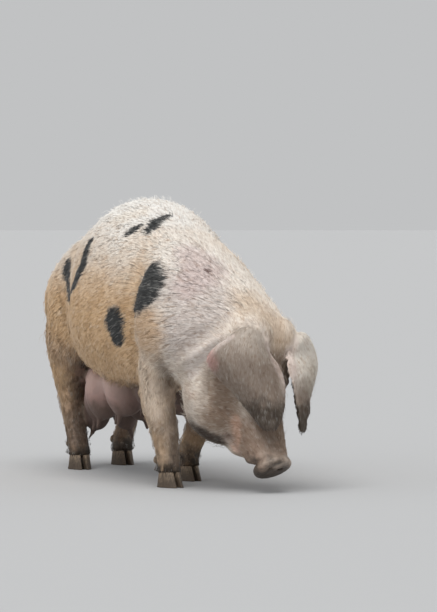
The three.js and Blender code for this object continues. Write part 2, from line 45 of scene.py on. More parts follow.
view = {
    "stands": (10.356, -3.431, 0.85),
    "aims": (-0.041, 0.169, 0.524),
    "lens": 294.5,
}
studio = {
    "floor": 90.0,
    "floorColour": (0.462, 0.468, 0.476),
    "air": (0.86, 0.87, 0.88),
    "airStrength": 0.62,
    "key": {"from": (0.38, -0.22, 1.0), "spread": 50, "power": 2.12, "colour": (1.0, 0.99, 0.97)},
    "fill": {"from": (0.7, -1.0, 0.40), "spread": 90, "power": 0.45, "colour": (1.0, 0.99, 0.97)},
}


def aimed(thing, at, target):
    thing.location = at
    thing.rotation_euler = (Vector(target) - Vector(at)).to_track_quat("-Z", "Y").to_euler()
    scene.collection.objects.link(thing)
    return thing


def setStage():
    lens = bpy.data.cameras.new("camera")
    lens.sensor_fit = "HORIZONTAL"
    lens.sensor_width = 36
    lens.lens = view["lens"]
    lens.clip_end = 300
    scene.camera = aimed(bpy.data.objects.new("camera", lens), view["stands"], view["aims"])
    for name in ("key", "fill"):
        lamp = bpy.data.lights.new(name, "SUN")
        lamp.angle = math.radians(studio[name]["spread"])
        lamp.energy = studio[name]["power"]
        lamp.color = studio[name]["colour"]
        aimed(bpy.data.objects.new(name, lamp), Vector(studio[name]["from"]) * 6, (0, 0, 0))
    world = bpy.data.worlds.new("studio")
    world.use_nodes = True
    world.node_tree.nodes["Background"].inputs[0].default_value = (*studio["air"], 1)
    world.node_tree.nodes["Background"].inputs[1].default_value = studio["airStrength"]
    scene.world = world
    scene.view_settings.view_transform = "Standard"
    disc = bmesh.new()
    bmesh.ops.create_circle(disc, cap_ends=True, segments=64, radius=studio["floor"])
    data = bpy.data.meshes.new("floor")
    disc.to_mesh(data)
    floor = bpy.data.objects.new("floor", data)
    scene.collection.objects.link(floor)
    paint = bpy.data.materials.new("floor")
    paint.use_nodes = True
    paint.node_tree.nodes["Principled BSDF"].inputs["Base Color"].default_value = (*studio["floorColour"], 1)
    paint.node_tree.nodes["Principled BSDF"].inputs["Roughness"].default_value = 0.9
    data.materials.append(paint)


setStage()
print("stage set")

# Her spine seen from above is straight over the loin and turns left over the shoulders.
spine = {"loin": -0.1049, "side": -0.0335, "bendFrom": 0.130, "bendTo": 0.680, "bend": math.radians(30)}
spineAlong = np.arange(-0.75, 1.0, 0.005)
spineTurn = np.clip((spineAlong - spine["bendFrom"]) / (spine["bendTo"] - spine["bendFrom"]), 0, 1)
spineTurn = spine["bend"] * spineTurn ** 2 * (3 - 2 * spineTurn)
spineX = np.cumsum(np.cos(spineTurn)) * 0.005
spineX += spine["loin"] - np.interp(0, spineAlong, spineX)
spineY = np.cumsum(np.sin(spineTurn)) * 0.005 + spine["side"]

# Her head hangs from the poll. along runs to the nose, left to her left and out to the forehead.
headAt = np.array((0.504, 0.081, 0.446))
headAxes = np.array(((0.212, 0.012, -0.977), (-0.482, 0.871, -0.094), (0.850, 0.491, 0.191)))


def onBody(along, left, height):
    turn = np.interp(along, spineAlong, spineTurn)
    x = np.interp(along, spineAlong, spineX) - left * math.sin(turn)
    y = np.interp(along, spineAlong, spineY) + left * math.cos(turn)
    return np.array((x, y, height))


def bodySense(places):
    # how far along the spine each place is, and how far left of it
    along = places[:, 0] - spine["loin"]
    for _ in range(6):
        turn = np.interp(along, spineAlong, spineTurn)
        dx = places[:, 0] - np.interp(along, spineAlong, spineX)
        dy = places[:, 1] - np.interp(along, spineAlong, spineY)
        along = along + dx * np.cos(turn) + dy * np.sin(turn)
    return along, dy * np.cos(turn) - dx * np.sin(turn), turn


def onHead(along, left, out):
    return headAt + np.array((along, left, out)) @ headAxes


def headSense(places):
    return (places - headAt) @ headAxes.T


def ease(low, high, value):
    t = np.clip((value - low) / (high - low), 0, 1)
    return t * t * (3 - 2 * t)


def unit(vectors):
    return vectors / np.maximum(np.linalg.norm(vectors, axis=-1, keepdims=True), 1e-9)


def ripple(places, size, seed, waves=7):
    # smooth noise from -1 to 1, with bumps about as far apart as size
    rolls = np.random.default_rng(seed)
    out = np.zeros(len(places))
    for _ in range(waves):
        way = unit(rolls.normal(size=3)) * rolls.uniform(0.7, 1.4) * 2 * math.pi / size
        out += np.sin(places @ way + rolls.uniform(0, 2 * math.pi))
    return out / math.sqrt(waves) / 1.4


def treeOf(points):
    tree = KDTree(len(points))
    for index, point in enumerate(points):
        tree.insert(point, index)
    tree.balance()
    return tree


def nearestIn(tree, places):
    # which point of the tree is nearest to each place
    return np.array([tree.find(place)[1] for place in places])


flesh = ["trunk", "neck", "head", "ear_left", "ear_right", "udder", "tail",
         "foreleg_left", "foreleg_right", "hindleg_left", "hindleg_right"]
skinSizes = {
    "voxel": 0.004,
    "coreVoxel": 0.010,
    "coreRounds": 45,
    "overlap": 0.0006,  # closes the thin cuts between the solids
    "rounds": 14,
    "earRoot": 14,  # rounds that melt the fold of an ear into the neck
    "earPlump": 0.0021,  # rounding thins the leaf of an ear, so it starts thicker
    "lips": 0.012,  # how far their colour spreads from the mouth
    "triangles": 188000,  # what the skin is thinned to
}


def objectOf(mesh, name):
    thing = bpy.data.objects.new(name, mesh)
    scene.collection.objects.link(thing)
    return thing


def applied(thing):
    # the object's mesh with its modifiers made real
    evaluated = thing.evaluated_get(bpy.context.evaluated_depsgraph_get())
    mesh = bpy.data.meshes.new_from_object(evaluated)
    old = thing.data
    thing.modifiers.clear()
    thing.data = mesh
    bpy.data.meshes.remove(old)
    return mesh


def joinedCopy(name, nodes, grow, rounded=()):
    # one mesh from copies of the solids; the rounded ones lose their facets first
    whole = bmesh.new()
    for node in nodes:
        part = bmesh.new()
        part.from_mesh(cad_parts[node].data)
        bmesh.ops.remove_doubles(part, verts=part.verts, dist=1e-5)
        part.normal_update()
        for vert in part.verts:
            vert.co += vert.normal * (grow if node[:3] != "ear" else skinSizes["earPlump"])
        if node in rounded:
            joining = {"angle_face_threshold": 0.7, "angle_shape_threshold": 0.7}
            bmesh.ops.join_triangles(part, faces=part.faces, **joining)
        loose = bpy.data.meshes.new(node)
        part.to_mesh(loose)
        part.free()
        if node in rounded:
            copy = objectOf(loose, node + "_round")
            levels = copy.modifiers.new("round", "SUBSURF")
            levels.levels = levels.render_levels = 2
            loose = applied(copy)
            bpy.data.objects.remove(copy)
        whole.from_mesh(loose)
        bpy.data.meshes.remove(loose)
    data = bpy.data.meshes.new(name)
    whole.to_mesh(data)
    whole.free()
    return objectOf(data, name)


def remeshed(thing, size):
    remesh = thing.modifiers.new("remesh", "REMESH")
    remesh.mode = "VOXEL"
    remesh.voxel_size = size
    return applied(thing)


class Surface:
    # vertices, edges and faces as arrays, for work on the whole hide at once
    def __init__(self, mesh):
        count = len(mesh.vertices)
        self.at = np.zeros(count * 3)
        mesh.vertices.foreach_get("co", self.at)
        self.at = self.at.reshape(-1, 3)
        edges = np.zeros(len(mesh.edges) * 2, np.int64)
        mesh.edges.foreach_get("vertices", edges)
        self.a, self.b = edges.reshape(-1, 2).T
        self.degree = np.bincount(np.concatenate((self.a, self.b)), minlength=count).astype(float)
        mesh.calc_loop_triangles()
        corners = np.zeros(len(mesh.loop_triangles) * 3, np.int64)
        mesh.loop_triangles.foreach_get("vertices", corners)
        self.triangles = corners.reshape(-1, 3)

    def mean(self, values):
        total = np.bincount(self.a, values[self.b], len(values))
        total += np.bincount(self.b, values[self.a], len(values))
        return total / self.degree

    def means(self, places):
        return np.stack([self.mean(axis) for axis in places.T], 1)

    def relaxed(self, values, rounds):
        for _ in range(rounds):
            values = 0.5 * values + 0.5 * self.mean(values)
        return values

    def smooth(self, rounds, hold):
        # shrinks and swells in turn, so that facets go and the volume stays
        for step in range(rounds * 2):
            push = 0.55 if step % 2 == 0 else -0.565
            self.at = self.at + (self.means(self.at) - self.at) * (push * hold)[:, None]

    def normals(self):
        p, q, r = (self.at[self.triangles[:, k]] for k in range(3))
        face = np.cross(q - p, r - p)
        out = np.zeros_like(self.at)
        for k in range(3):
            for axis in range(3):
                out[:, axis] += np.bincount(self.triangles[:, k], face[:, axis], len(out))
        return unit(out)

    def write(self, mesh):
        mesh.vertices.foreach_set("co", self.at.ravel())
        mesh.update()


def refined(mesh):
    # splits the faces round the eyes and on the nose
    for level in (1, 2):
        places = np.zeros(len(mesh.vertices) * 3)
        mesh.vertices.foreach_get("co", places)
        places = places.reshape(-1, 3)
        near = np.zeros(len(places), bool)
        for spot in fineSpots:
            along, left, out = spot["at"]
            for sign in (-1, 1):
                gap = np.linalg.norm(places - onHead(along, sign * left, out), axis=1)
                near |= (gap < spot["reach"]) & (spot["rounds"] >= level)
        ends = np.zeros(len(mesh.edges) * 2, np.int64)
        mesh.edges.foreach_get("vertices", ends)
        chosen = np.nonzero(near[ends.reshape(-1, 2)].all(1))[0]
        shape = bmesh.new()
        shape.from_mesh(mesh)
        shape.edges.ensure_lookup_table()
        bmesh.ops.subdivide_edges(shape, edges=[shape.edges[k] for k in chosen], cuts=1, use_grid_fill=True)
        shape.to_mesh(mesh)
        shape.free()


def nodeOf(places):
    # which solid each place belongs to
    points, owners = [], []
    for index, node in enumerate(flesh):
        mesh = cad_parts[node].data
        surface = Surface(mesh)
        p, q, r = (surface.at[surface.triangles[:, k]] for k in range(3))
        area = np.linalg.norm(np.cross(q - p, r - p), axis=1)
        picked = dice.choice(len(area), 5000 if node == "trunk" else 2200, p=area / area.sum())
        mix = dice.dirichlet((1, 1, 1), len(picked))
        points.append(p[picked] * mix[:, :1] + q[picked] * mix[:, 1:2] + r[picked] * mix[:, 2:])
        owners.append(np.full(len(picked), index))
    return np.concatenate(owners)[nearestIn(treeOf(np.concatenate(points)), places)]


def gapToPath(places, path):
    # distance from each place to a line of points, and how far along it the nearest point lies
    best = np.full(len(places), 9.0)
    share = np.zeros(len(places))
    for k in range(len(path) - 1):
        a, b = path[k], path[k + 1]
        t = np.clip((places - a) @ (b - a) / ((b - a) @ (b - a)), 0, 1)
        gap = np.linalg.norm(places - a - t[:, None] * (b - a), axis=1)
        closer = gap < best
        best[closer] = gap[closer]
        share[closer] = (k + t[closer]) / (len(path) - 1)
    return best, share


# Each form is a line on both sides of her, with its reach and how far it pushes the hide out or in.
bodyForms = {
    "shoulder edge": {"reach": 0.045, "push": 0.006, "path": [
        (0.4, 0.115, 0.7), (0.392, 0.165, 0.61), (0.39, 0.19, 0.52), (0.392, 0.195, 0.43),
        (0.396, 0.188, 0.34)]},
    "behind the shoulder": {"reach": 0.05, "push": -0.016, "path": [
        (0.34, 0.145, 0.69), (0.33, 0.185, 0.6), (0.33, 0.198, 0.5), (0.322, 0.19, 0.4),
        (0.33, 0.178, 0.31)]},
    "breast fold": {"reach": 0.012, "push": -0.012, "path": [
        (0.462, 0.2, 0.4), (0.458, 0.173, 0.358), (0.439, 0.134, 0.326), (0.415, 0.103, 0.3)]},
    "elbow fold": {"reach": 0.012, "push": -0.009, "path": [
        (0.368, 0.18, 0.268), (0.398, 0.165, 0.277), (0.411, 0.147, 0.276), (0.414, 0.121, 0.271)]},
    "under the elbow": {"reach": 0.013, "push": -0.004, "path": [
        (0.378, 0.17, 0.246), (0.402, 0.152, 0.25), (0.408, 0.125, 0.246)]},
    "flank fold": {"reach": 0.03, "push": -0.018, "path": [
        (-0.265, 0.2, 0.56), (-0.262, 0.205, 0.47), (-0.272, 0.19, 0.39), (-0.285, 0.16, 0.32)]},
    "ham edge": {"reach": 0.045, "push": 0.008, "path": [
        (-0.345, 0.205, 0.6), (-0.345, 0.212, 0.5), (-0.35, 0.205, 0.41)]},
    "hip": {"reach": 0.05, "push": 0.006, "path": [
        (-0.33, 0.15, 0.7), (-0.3, 0.165, 0.67)]},
}
headForms = {
    "mouth": {"reach": 0.0065, "push": -0.007, "path": [
        (0.352, 0.03, -0.045), (0.3, 0.055, -0.062), (0.25, 0.07, -0.06), (0.215, 0.085, -0.045)]},
    "lip": {"reach": 0.014, "push": 0.005, "path": [
        (0.35, 0.04, -0.03), (0.3, 0.062, -0.044), (0.25, 0.076, -0.042)]},
    "cheek fold": {"reach": 0.01, "push": -0.006, "path": [
        (0.19, 0.128, -0.052), (0.208, 0.102, -0.036), (0.232, 0.078, -0.028)]},
    "fold by the ear": {"reach": 0.014, "push": 0.009, "path": [
        (0.085, 0.152, -0.16), (0.06, 0.168, -0.11), (0.036, 0.163, -0.04), (0.022, 0.156, -0.01),
        (0.004, 0.14, 0.025)]},
    "behind that fold": {"reach": 0.018, "push": -0.007, "path": [
        (0.05, 0.16, -0.185), (0.026, 0.172, -0.125), (0.0, 0.168, -0.06), (-0.02, 0.156, -0.015),
        (-0.04, 0.13, 0.025)]},
    "before that fold": {"reach": 0.012, "push": -0.006, "path": [
        (0.105, 0.14, -0.13), (0.085, 0.152, -0.085), (0.062, 0.152, -0.02)]},
    "jowl roll": {"reach": 0.03, "push": 0.008, "path": [
        (0.13, 0.135, -0.11), (0.18, 0.14, -0.11), (0.23, 0.125, -0.11)]},
    "before the jowl roll": {"reach": 0.01, "push": -0.008, "path": [
        (0.09, 0.15, -0.044), (0.124, 0.137, -0.05), (0.153, 0.138, -0.058), (0.19, 0.136, -0.066)]},
    "brow": {"reach": 0.022, "push": 0.006, "path": [
        (0.09, 0.075, 0.066), (0.11, 0.092, 0.052)]},
    "first muzzle wrinkle": {"reach": 0.006, "push": -0.0035, "path": [
        (0.352, 0.0, 0.078), (0.35, 0.032, 0.068), (0.346, 0.055, 0.04)]},
    "second muzzle wrinkle": {"reach": 0.006, "push": -0.003, "path": [
        (0.33, 0.0, 0.076), (0.328, 0.034, 0.066), (0.324, 0.057, 0.036)]},
    "third muzzle wrinkle": {"reach": 0.007, "push": -0.0025, "path": [
        (0.306, 0.0, 0.072), (0.304, 0.036, 0.06)]},
}

# The middle of each ear from over the poll to its tip: down the head, back to the jowl and out,
# and half its width.
earLine = np.array((
    (0.004, 0.032, 0.172, 0.068), (0.042, 0.050, 0.188, 0.088), (0.092, 0.046, 0.190, 0.100),
    (0.150, 0.020, 0.174, 0.097), (0.206, -0.009, 0.152, 0.070), (0.254, -0.022, 0.138, 0.046),
    (0.292, -0.024, 0.132, 0.021)))
earNarrow = {"right": 0, "left": 0.28}  # how much of its width an ear loses below the middle
earRoll = {"right": 0.013, "left": 0.006}  # how far the front rim turns up near the tip
eyes = {
    "along": 0.130,
    "left": 0.086,
    "out": 0.038,
    "radius": 0.0142,
    "cornea": 0.05,  # how much of its radius an eye bulges in front
    "lid": 0.0014,
    "long": 0.0128,  # half the length of the slit
    "open": 0.0060,  # half its width in the middle
    "domed": 0.0155,  # how far round its middle the lids stand out
    "rim": 0.0009,
    "crease": 0.0014,
    "sunk": 0.0045,
}
# Where small forms go, the hide gets finer faces: a place on the head, a reach and how often they are split.
fineSpots = [
    {"at": (eyes["along"], eyes["left"], eyes["out"]), "reach": 0.031, "rounds": 2},
    {"at": (0.365, 0.0, 0.040), "reach": 0.100, "rounds": 1},
    {"at": (0.400, 0.021, 0.048), "reach": 0.045, "rounds": 2},
]


def earSense(places, sign):
    # how far down an ear each place is, and across it from the front rim (-1) to the one by the jowl (1)
    along, side, out = headSense(places).T
    back = (sign * side - out) * math.sqrt(0.5)
    share = np.interp(along, earLine[:, 0], np.linspace(0, 1, len(earLine)))
    middle = np.interp(along, earLine[:, 0], earLine[:, 1])
    narrow = 1 - earNarrow["left" if sign > 0 else "right"] * ease(0.45, 0.75, share)
    return share, (back - middle) / (np.interp(along, earLine[:, 0], earLine[:, 3]) * narrow)


def foldEars(hide, soft):
    # turned-up rims, soft dents and crumpled tips, which move both faces of the leaf together
    side = headSense(hide.at)[:, 1]
    for name, sign in (("right", -1), ("left", 1)):
        mine = soft["ear"] * (np.sign(side) == sign)
        share, across = earSense(hide.at, sign)
        outward = (headAxes[2] + sign * headAxes[1]) * math.sqrt(0.5)
        push = 0.0028 * ripple(hide.at, 0.085, 21)
        push += 0.0034 * ripple(hide.at, 0.036, 22) * ease(0.62, 0.90, share)
        push += earRoll[name] * ease(-0.62, -1.0, across) * ease(0.35, 0.62, share) * ease(1.0, 0.85, share)
        push += 0.005 * ease(0.75, 1.0, across) * ease(0.1, 0.3, share) * ease(0.85, 0.6, share)
        push -= 0.004 * np.exp(-((across + 0.1) / 0.18) ** 2) * ease(0.2, 0.5, share) * ease(1.0, 0.8, share)
        hide.at += outward * (push * mine)[:, None]


def eyeSense(places, sign):
    # places from the middle of an eye: along its slit, across it and out of the head
    centre = onHead(eyes["along"], sign * eyes["left"], eyes["out"])
    gaze = unit(headAxes[2] * 0.62 + headAxes[1] * sign * 0.78)
    slit = unit(headAxes[0] - gaze * (headAxes[0] @ gaze))
    return (places - centre) @ np.stack((slit, np.cross(gaze, slit) * sign, gaze)).T, centre, gaze, slit


def openLids(hide):
    # domes the hide over each eyeball and sinks it inside an almond opening
    for sign in (-1, 1):
        sensed, _, gaze, _ = eyeSense(hide.at, sign)
        near = (np.hypot(sensed[:, 0], sensed[:, 1]) < 0.030) & (np.abs(sensed[:, 2]) < 0.030)
        u, v, w = sensed[near].T
        radius = np.hypot(u, v)
        dome = np.sqrt(np.maximum((eyes["radius"] + eyes["lid"]) ** 2 - radius ** 2, 0))
        lidded = w + (dome - w) * ease(eyes["domed"], eyes["domed"] - 0.003, radius)
        lidded = np.where(radius < eyes["domed"], np.maximum(lidded, dome), w)
        bend = 0.0016 * (u / eyes["long"]) ** 2
        slot = eyes["open"] * np.maximum(1 - (u / eyes["long"]) ** 2, 0) ** 0.75
        gap = np.abs(v + bend) - slot
        rim = np.exp(-((gap - 0.0012) / 0.0011) ** 2) * eyes["rim"] * (np.abs(u) < eyes["long"] * 1.1)
        crease = np.exp(-((gap - 0.0058) / 0.0013) ** 2) * eyes["crease"]
        crease *= (np.abs(u) < eyes["long"] * 1.3) * (v < 0.02)
        sunk = ease(0.0004, -0.0007, gap) * (np.abs(u) < eyes["long"])
        level = lidded + rim - crease
        level = level + (np.minimum(dome - eyes["sunk"], level) - level) * sunk
        hide.at[near] += gaze * (level - w)[:, None]


def bothSides(path, place):
    for side in (-1, 1):
        yield np.array([place(a, side * b, c) for a, b, c in path])


def pressForms(hide, forms, place):
    normals = hide.normals()
    for form in forms.values():
        for path in bothSides(form["path"], place):
            gap, share = gapToPath(hide.at, path)
            near = gap < form["reach"] * 3
            fade = np.exp(-((gap[near] / form["reach"]) ** 2)) * (1 - 0.5 * (2 * share[near] - 1) ** 4)
            hide.at[near] += normals[near] * (form["push"] * fade)[:, None]


def makeCore():
    # the flesh without its thin parts, rounded at the size of a muscle
    core = joinedCopy("core", [n for n in flesh if n[:3] not in ("ear", "udd", "tai")], skinSizes["overlap"])
    mesh = remeshed(core, skinSizes["coreVoxel"])
    surface = Surface(mesh)
    surface.smooth(skinSizes["coreRounds"], np.ones(len(surface.at)))
    surface.write(mesh)
    levels = core.modifiers.new("round", "SUBSURF")
    levels.levels = levels.render_levels = 1
    applied(core)
    return core


def makeHide():
    # the one skin: rounded like the core, but with its ears, udder, tail and nose kept sharp
    core = makeCore()
    solids = [*flesh, "eye_left", "eye_right"]
    skin = joinedCopy("skin", solids, skinSizes["overlap"], ("ear_left", "ear_right", "udder", "tail"))
    refined(remeshed(skin, skinSizes["voxel"]))
    hide = Surface(skin.data)
    owner = nodeOf(hide.at)
    soft = {}
    for part in ("ear", "udder", "tail", "foreleg", "hindleg", "head"):
        own = np.isin(owner, [k for k, node in enumerate(flesh) if node.startswith(part)])
        soft[part] = hide.relaxed(own.astype(float), 14)
    soft["nose"] = ease(0.325, 0.365, headSense(hide.at)[:, 0]) * soft["head"]
    free = np.clip(1 - 1.6 * (soft["ear"] + soft["udder"] + soft["tail"] + soft["nose"]), 0, 1)
    free *= ease(0.050, 0.095, hide.at[:, 2])
    steps = np.round(hide.relaxed(free, 10) * 20).astype(int)
    group = skin.vertex_groups.new(name="round")
    for step in range(1, 21):
        group.add(np.nonzero(steps == step)[0].tolist(), step / 20, "REPLACE")
    wrap = skin.modifiers.new("wrap", "SHRINKWRAP")
    wrap.target = core
    wrap.vertex_group = "round"
    applied(skin)
    bpy.data.objects.remove(core)
    hide = Surface(skin.data)
    hold = np.clip(1 - 0.6 * soft["ear"] - 0.5 * soft["udder"] - 0.8 * soft["tail"], 0.12, 1)
    hide.smooth(skinSizes["rounds"], hold * (0.25 + 0.75 * ease(0.048, 0.065, hide.at[:, 2])))
    # the fold of each ear over the poll melts into the neck
    root = soft["ear"] * ease(0.055, 0.005, headSense(hide.at)[:, 0])
    for _ in range(skinSizes["earRoot"]):
        hide.at += (hide.means(hide.at) - hide.at) * (0.5 * root)[:, None]
    pressForms(hide, bodyForms, onBody)
    pressForms(hide, headForms, onHead)
    foldEars(hide, soft)
    return skin, hide, soft


skin, hide, soft = makeHide()
print("hide rounded and pressed")

coatDepth = {"body": 0.0045, "head": 0.0030, "ear": 0.0012, "legs": 0.0026, "udder": 0.0006, "tail": 0.0015,
             "nose": 0.0003, "eye": 0.0003}


def regionsOf(hide):
    # how much of each place is leg, round an eye, by the lips or on the rim of an ear
    legs = np.clip(soft["foreleg"] + soft["hindleg"], 0, 1) * ease(0.42, 0.30, hide.at[:, 2])
    lids = np.zeros(len(hide.at))
    lips = np.zeros(len(hide.at))
    for sign in (-1, 1):
        gap = np.linalg.norm(eyeSense(hide.at, sign)[0], axis=1)
        lids = np.maximum(lids, ease(0.030, 0.018, gap))
    for mouth in bothSides(headForms["mouth"]["path"], onHead):
        lips = np.maximum(lips, np.exp(-(gapToPath(hide.at, mouth)[0] / skinSizes["lips"]) ** 2))
    side = np.sign(headSense(hide.at)[:, 1])
    across = np.where(side > 0, earSense(hide.at, 1)[1], earSense(hide.at, -1)[1])
    rim = ease(0.80, 1.0, np.abs(across)) * soft["ear"]
    regions = {part: soft[part] for part in ("ear", "udder", "tail", "head", "nose")}
    return regions | {"legs": legs, "eye": lids, "lips": lips, "rim": rim}


def sinkHide(fields):
    # sinks the skin under its coat, opens the lids and finds the hollows
    depth = np.full(len(hide.at), coatDepth["body"])
    for part in ("head", "legs", "ear", "udder", "tail", "nose", "eye"):
        depth += (coatDepth[part] - depth) * np.clip(fields[part], 0, 1)
    normals = hide.normals()
    hide.at -= normals * (depth * (0.2 + 0.8 * ease(0.046, 0.060, hide.at[:, 2])))[:, None]
    openLids(hide)
    smoothed = hide.at.copy()
    for _ in range(40):
        smoothed = 0.5 * smoothed + 0.5 * hide.means(smoothed)
    fields["hollow"] = np.clip(((smoothed - hide.at) * normals).sum(1) / 0.004, -1, 1)


def thinHide(fields):
    # thins the skin least where its shape turns, and takes the fields over to what is left
    hide.write(skin.data)
    group = skin.vertex_groups.new(name="detail")
    keep = 0.7 * (fields["head"] + fields["ear"]) + 0.4 * fields["udder"] + fields["eye"] + fields["nose"]
    steps = np.round(np.clip(keep, 0, 1) * 10).astype(int)
    for step in range(0, 11):
        group.add(np.nonzero(steps == step)[0].tolist(), 1 - 0.09 * step, "REPLACE")
    thin = skin.modifiers.new("thin", "DECIMATE")
    thin.ratio = skinSizes["triangles"] / len(hide.triangles)
    thin.vertex_group = "detail"
    mesh = applied(skin)
    skin.vertex_groups.clear()
    final = Surface(mesh)
    source = nearestIn(treeOf(hide.at), final.at)
    fields = {name: values[source] for name, values in fields.items()}
    for name, values in fields.items():
        layer = mesh.attributes.new(name, "FLOAT", "POINT")
        layer.data.foreach_set("value", values.astype(np.float32))
    mesh.polygons.foreach_set("use_smooth", np.ones(len(mesh.polygons), bool))
    return final, fields


fields = regionsOf(hide)
sinkHide(fields)
hide, fields = thinHide(fields)
print("skin settled with", len(hide.triangles), "triangles")


class Socket:
    # a shader value that Python's operators work on
    def __init__(self, shader, socket):
        self.shader = shader
        self.socket = socket

    def __add__(self, other):
        return self.shader.maths("ADD", self, other)

    def __sub__(self, other):
        return self.shader.maths("SUBTRACT", self, other)

    def __rsub__(self, other):
        return self.shader.maths("SUBTRACT", other, self)

    def __mul__(self, other):
        return self.shader.maths("MULTIPLY", self, other)

    def __truediv__(self, other):
        return self.shader.maths("DIVIDE", self, other)

    def __rtruediv__(self, other):
        return self.shader.maths("DIVIDE", other, self)

    __radd__ = __add__
    __rmul__ = __mul__

    def kept(self):
        # no less than 0 and no more than 1
        return self.shader.add("ShaderNodeClamp", None, {"Value": self})[0]

    def eased(self, low, high, start=0.0, end=1.0):
        # start at low and end at high, with a smooth step between
        ends = {"From Min": low, "From Max": high, "To Min": start, "To Max": end}
        settings = {"interpolation_type": "SMOOTHSTEP"}
        return self.shader.add("ShaderNodeMapRange", settings, {"Value": self, **ends})[0]


class Shader:
    # one material and the few ways of adding to it
    def __init__(self, name):
        self.material = bpy.data.materials.new(name)
        self.material.use_nodes = True
        self.tree = self.material.node_tree
        self.tree.nodes.clear()

    def add(self, kind, settings=None, inputs=None):
        node = self.tree.nodes.new(kind)
        for key, value in (settings or {}).items():
            setattr(node, key, value)
        for key, value in (inputs or {}).items():
            shown = [s for s in node.inputs if s.enabled]
            socket = shown[key] if isinstance(key, int) else next(s for s in shown if s.name == key)
            if isinstance(value, Socket):
                self.tree.links.new(value.socket, socket)
            elif socket.type == "RGBA":
                socket.default_value = (*value, 1)
            else:
                socket.default_value = value
        return [Socket(self, s) for s in node.outputs if s.enabled]

    def maths(self, operation, *values):
        return self.add("ShaderNodeMath", {"operation": operation}, dict(enumerate(values)))[0]

    def vector(self, operation, *values):
        return self.add("ShaderNodeVectorMath", {"operation": operation}, dict(enumerate(values)))[0]

    def scaled(self, vector, size):
        return self.add("ShaderNodeVectorMath", {"operation": "SCALE"}, {0: vector, 1: size})[0]

    def mixed(self, a, b, share, blend="MIX"):
        settings = {"data_type": "RGBA", "blend_type": blend}
        return self.add("ShaderNodeMix", settings, {0: share, 1: a, 2: b})[0]

    def noise(self, place, size, detail=2.0, rough=0.5):
        return self.add("ShaderNodeTexNoise", None,
                        {"Vector": place, "Scale": 1 / size, "Detail": detail, "Roughness": rough})[0]

    def field(self, name, vector=False):
        outs = self.add("ShaderNodeAttribute", {"attribute_name": name})
        return outs[1] if vector else outs[2]

    def bump(self, height, depth):
        return self.add("ShaderNodeBump", None, {"Height": height, "Distance": depth, "Strength": 1.0})[0]

    def surface(self, inputs):
        shade = self.add("ShaderNodeBsdfPrincipled", None, inputs)[0]
        self.add("ShaderNodeOutputMaterial", None, {"Surface": shade})
        return self.material


# Her black marks: a line of places for each, with how far it reaches there.
marks = {
    "right shoulder": [
        (0.33, -0.167, 0.612, 0.053), (0.342, -0.184, 0.582, 0.07), (0.287, -0.207, 0.538, 0.041)],
    "right flank": [(0.167, -0.228, 0.489, 0.041), (0.172, -0.222, 0.443, 0.028)],
    "back": [(0.18, -0.126, 0.755, 0.018), (0.16, -0.095, 0.784, 0.022), (0.138, -0.05, 0.803, 0.012)],
    "back behind": [(0.107, -0.168, 0.749, 0.013), (0.124, -0.14, 0.77, 0.015)],
    "right barrel": [
        (-0.086, -0.228, 0.716, 0.021), (-0.066, -0.256, 0.652, 0.028), (-0.102, -0.272, 0.602, 0.024),
        (-0.16, -0.264, 0.572, 0.013)],
    "right ham": [
        (-0.378, -0.214, 0.64, 0.03), (-0.31, -0.235, 0.592, 0.026), (-0.17, -0.267, 0.546, 0.013)],
    "croup": [(-0.52, 0.02, 0.73, 0.034), (-0.47, 0.075, 0.73, 0.042)],
    "left ham": [(-0.4, 0.165, 0.59, 0.048), (-0.36, 0.17, 0.52, 0.034)],
    "left barrel": [(-0.12, 0.19, 0.64, 0.04), (-0.02, 0.205, 0.59, 0.058)],
    "left flank": [(0.1, 0.205, 0.47, 0.03), (0.13, 0.205, 0.44, 0.038)],
    "left shoulder": [(0.3, 0.2, 0.56, 0.045), (0.33, 0.215, 0.5, 0.036)],
}
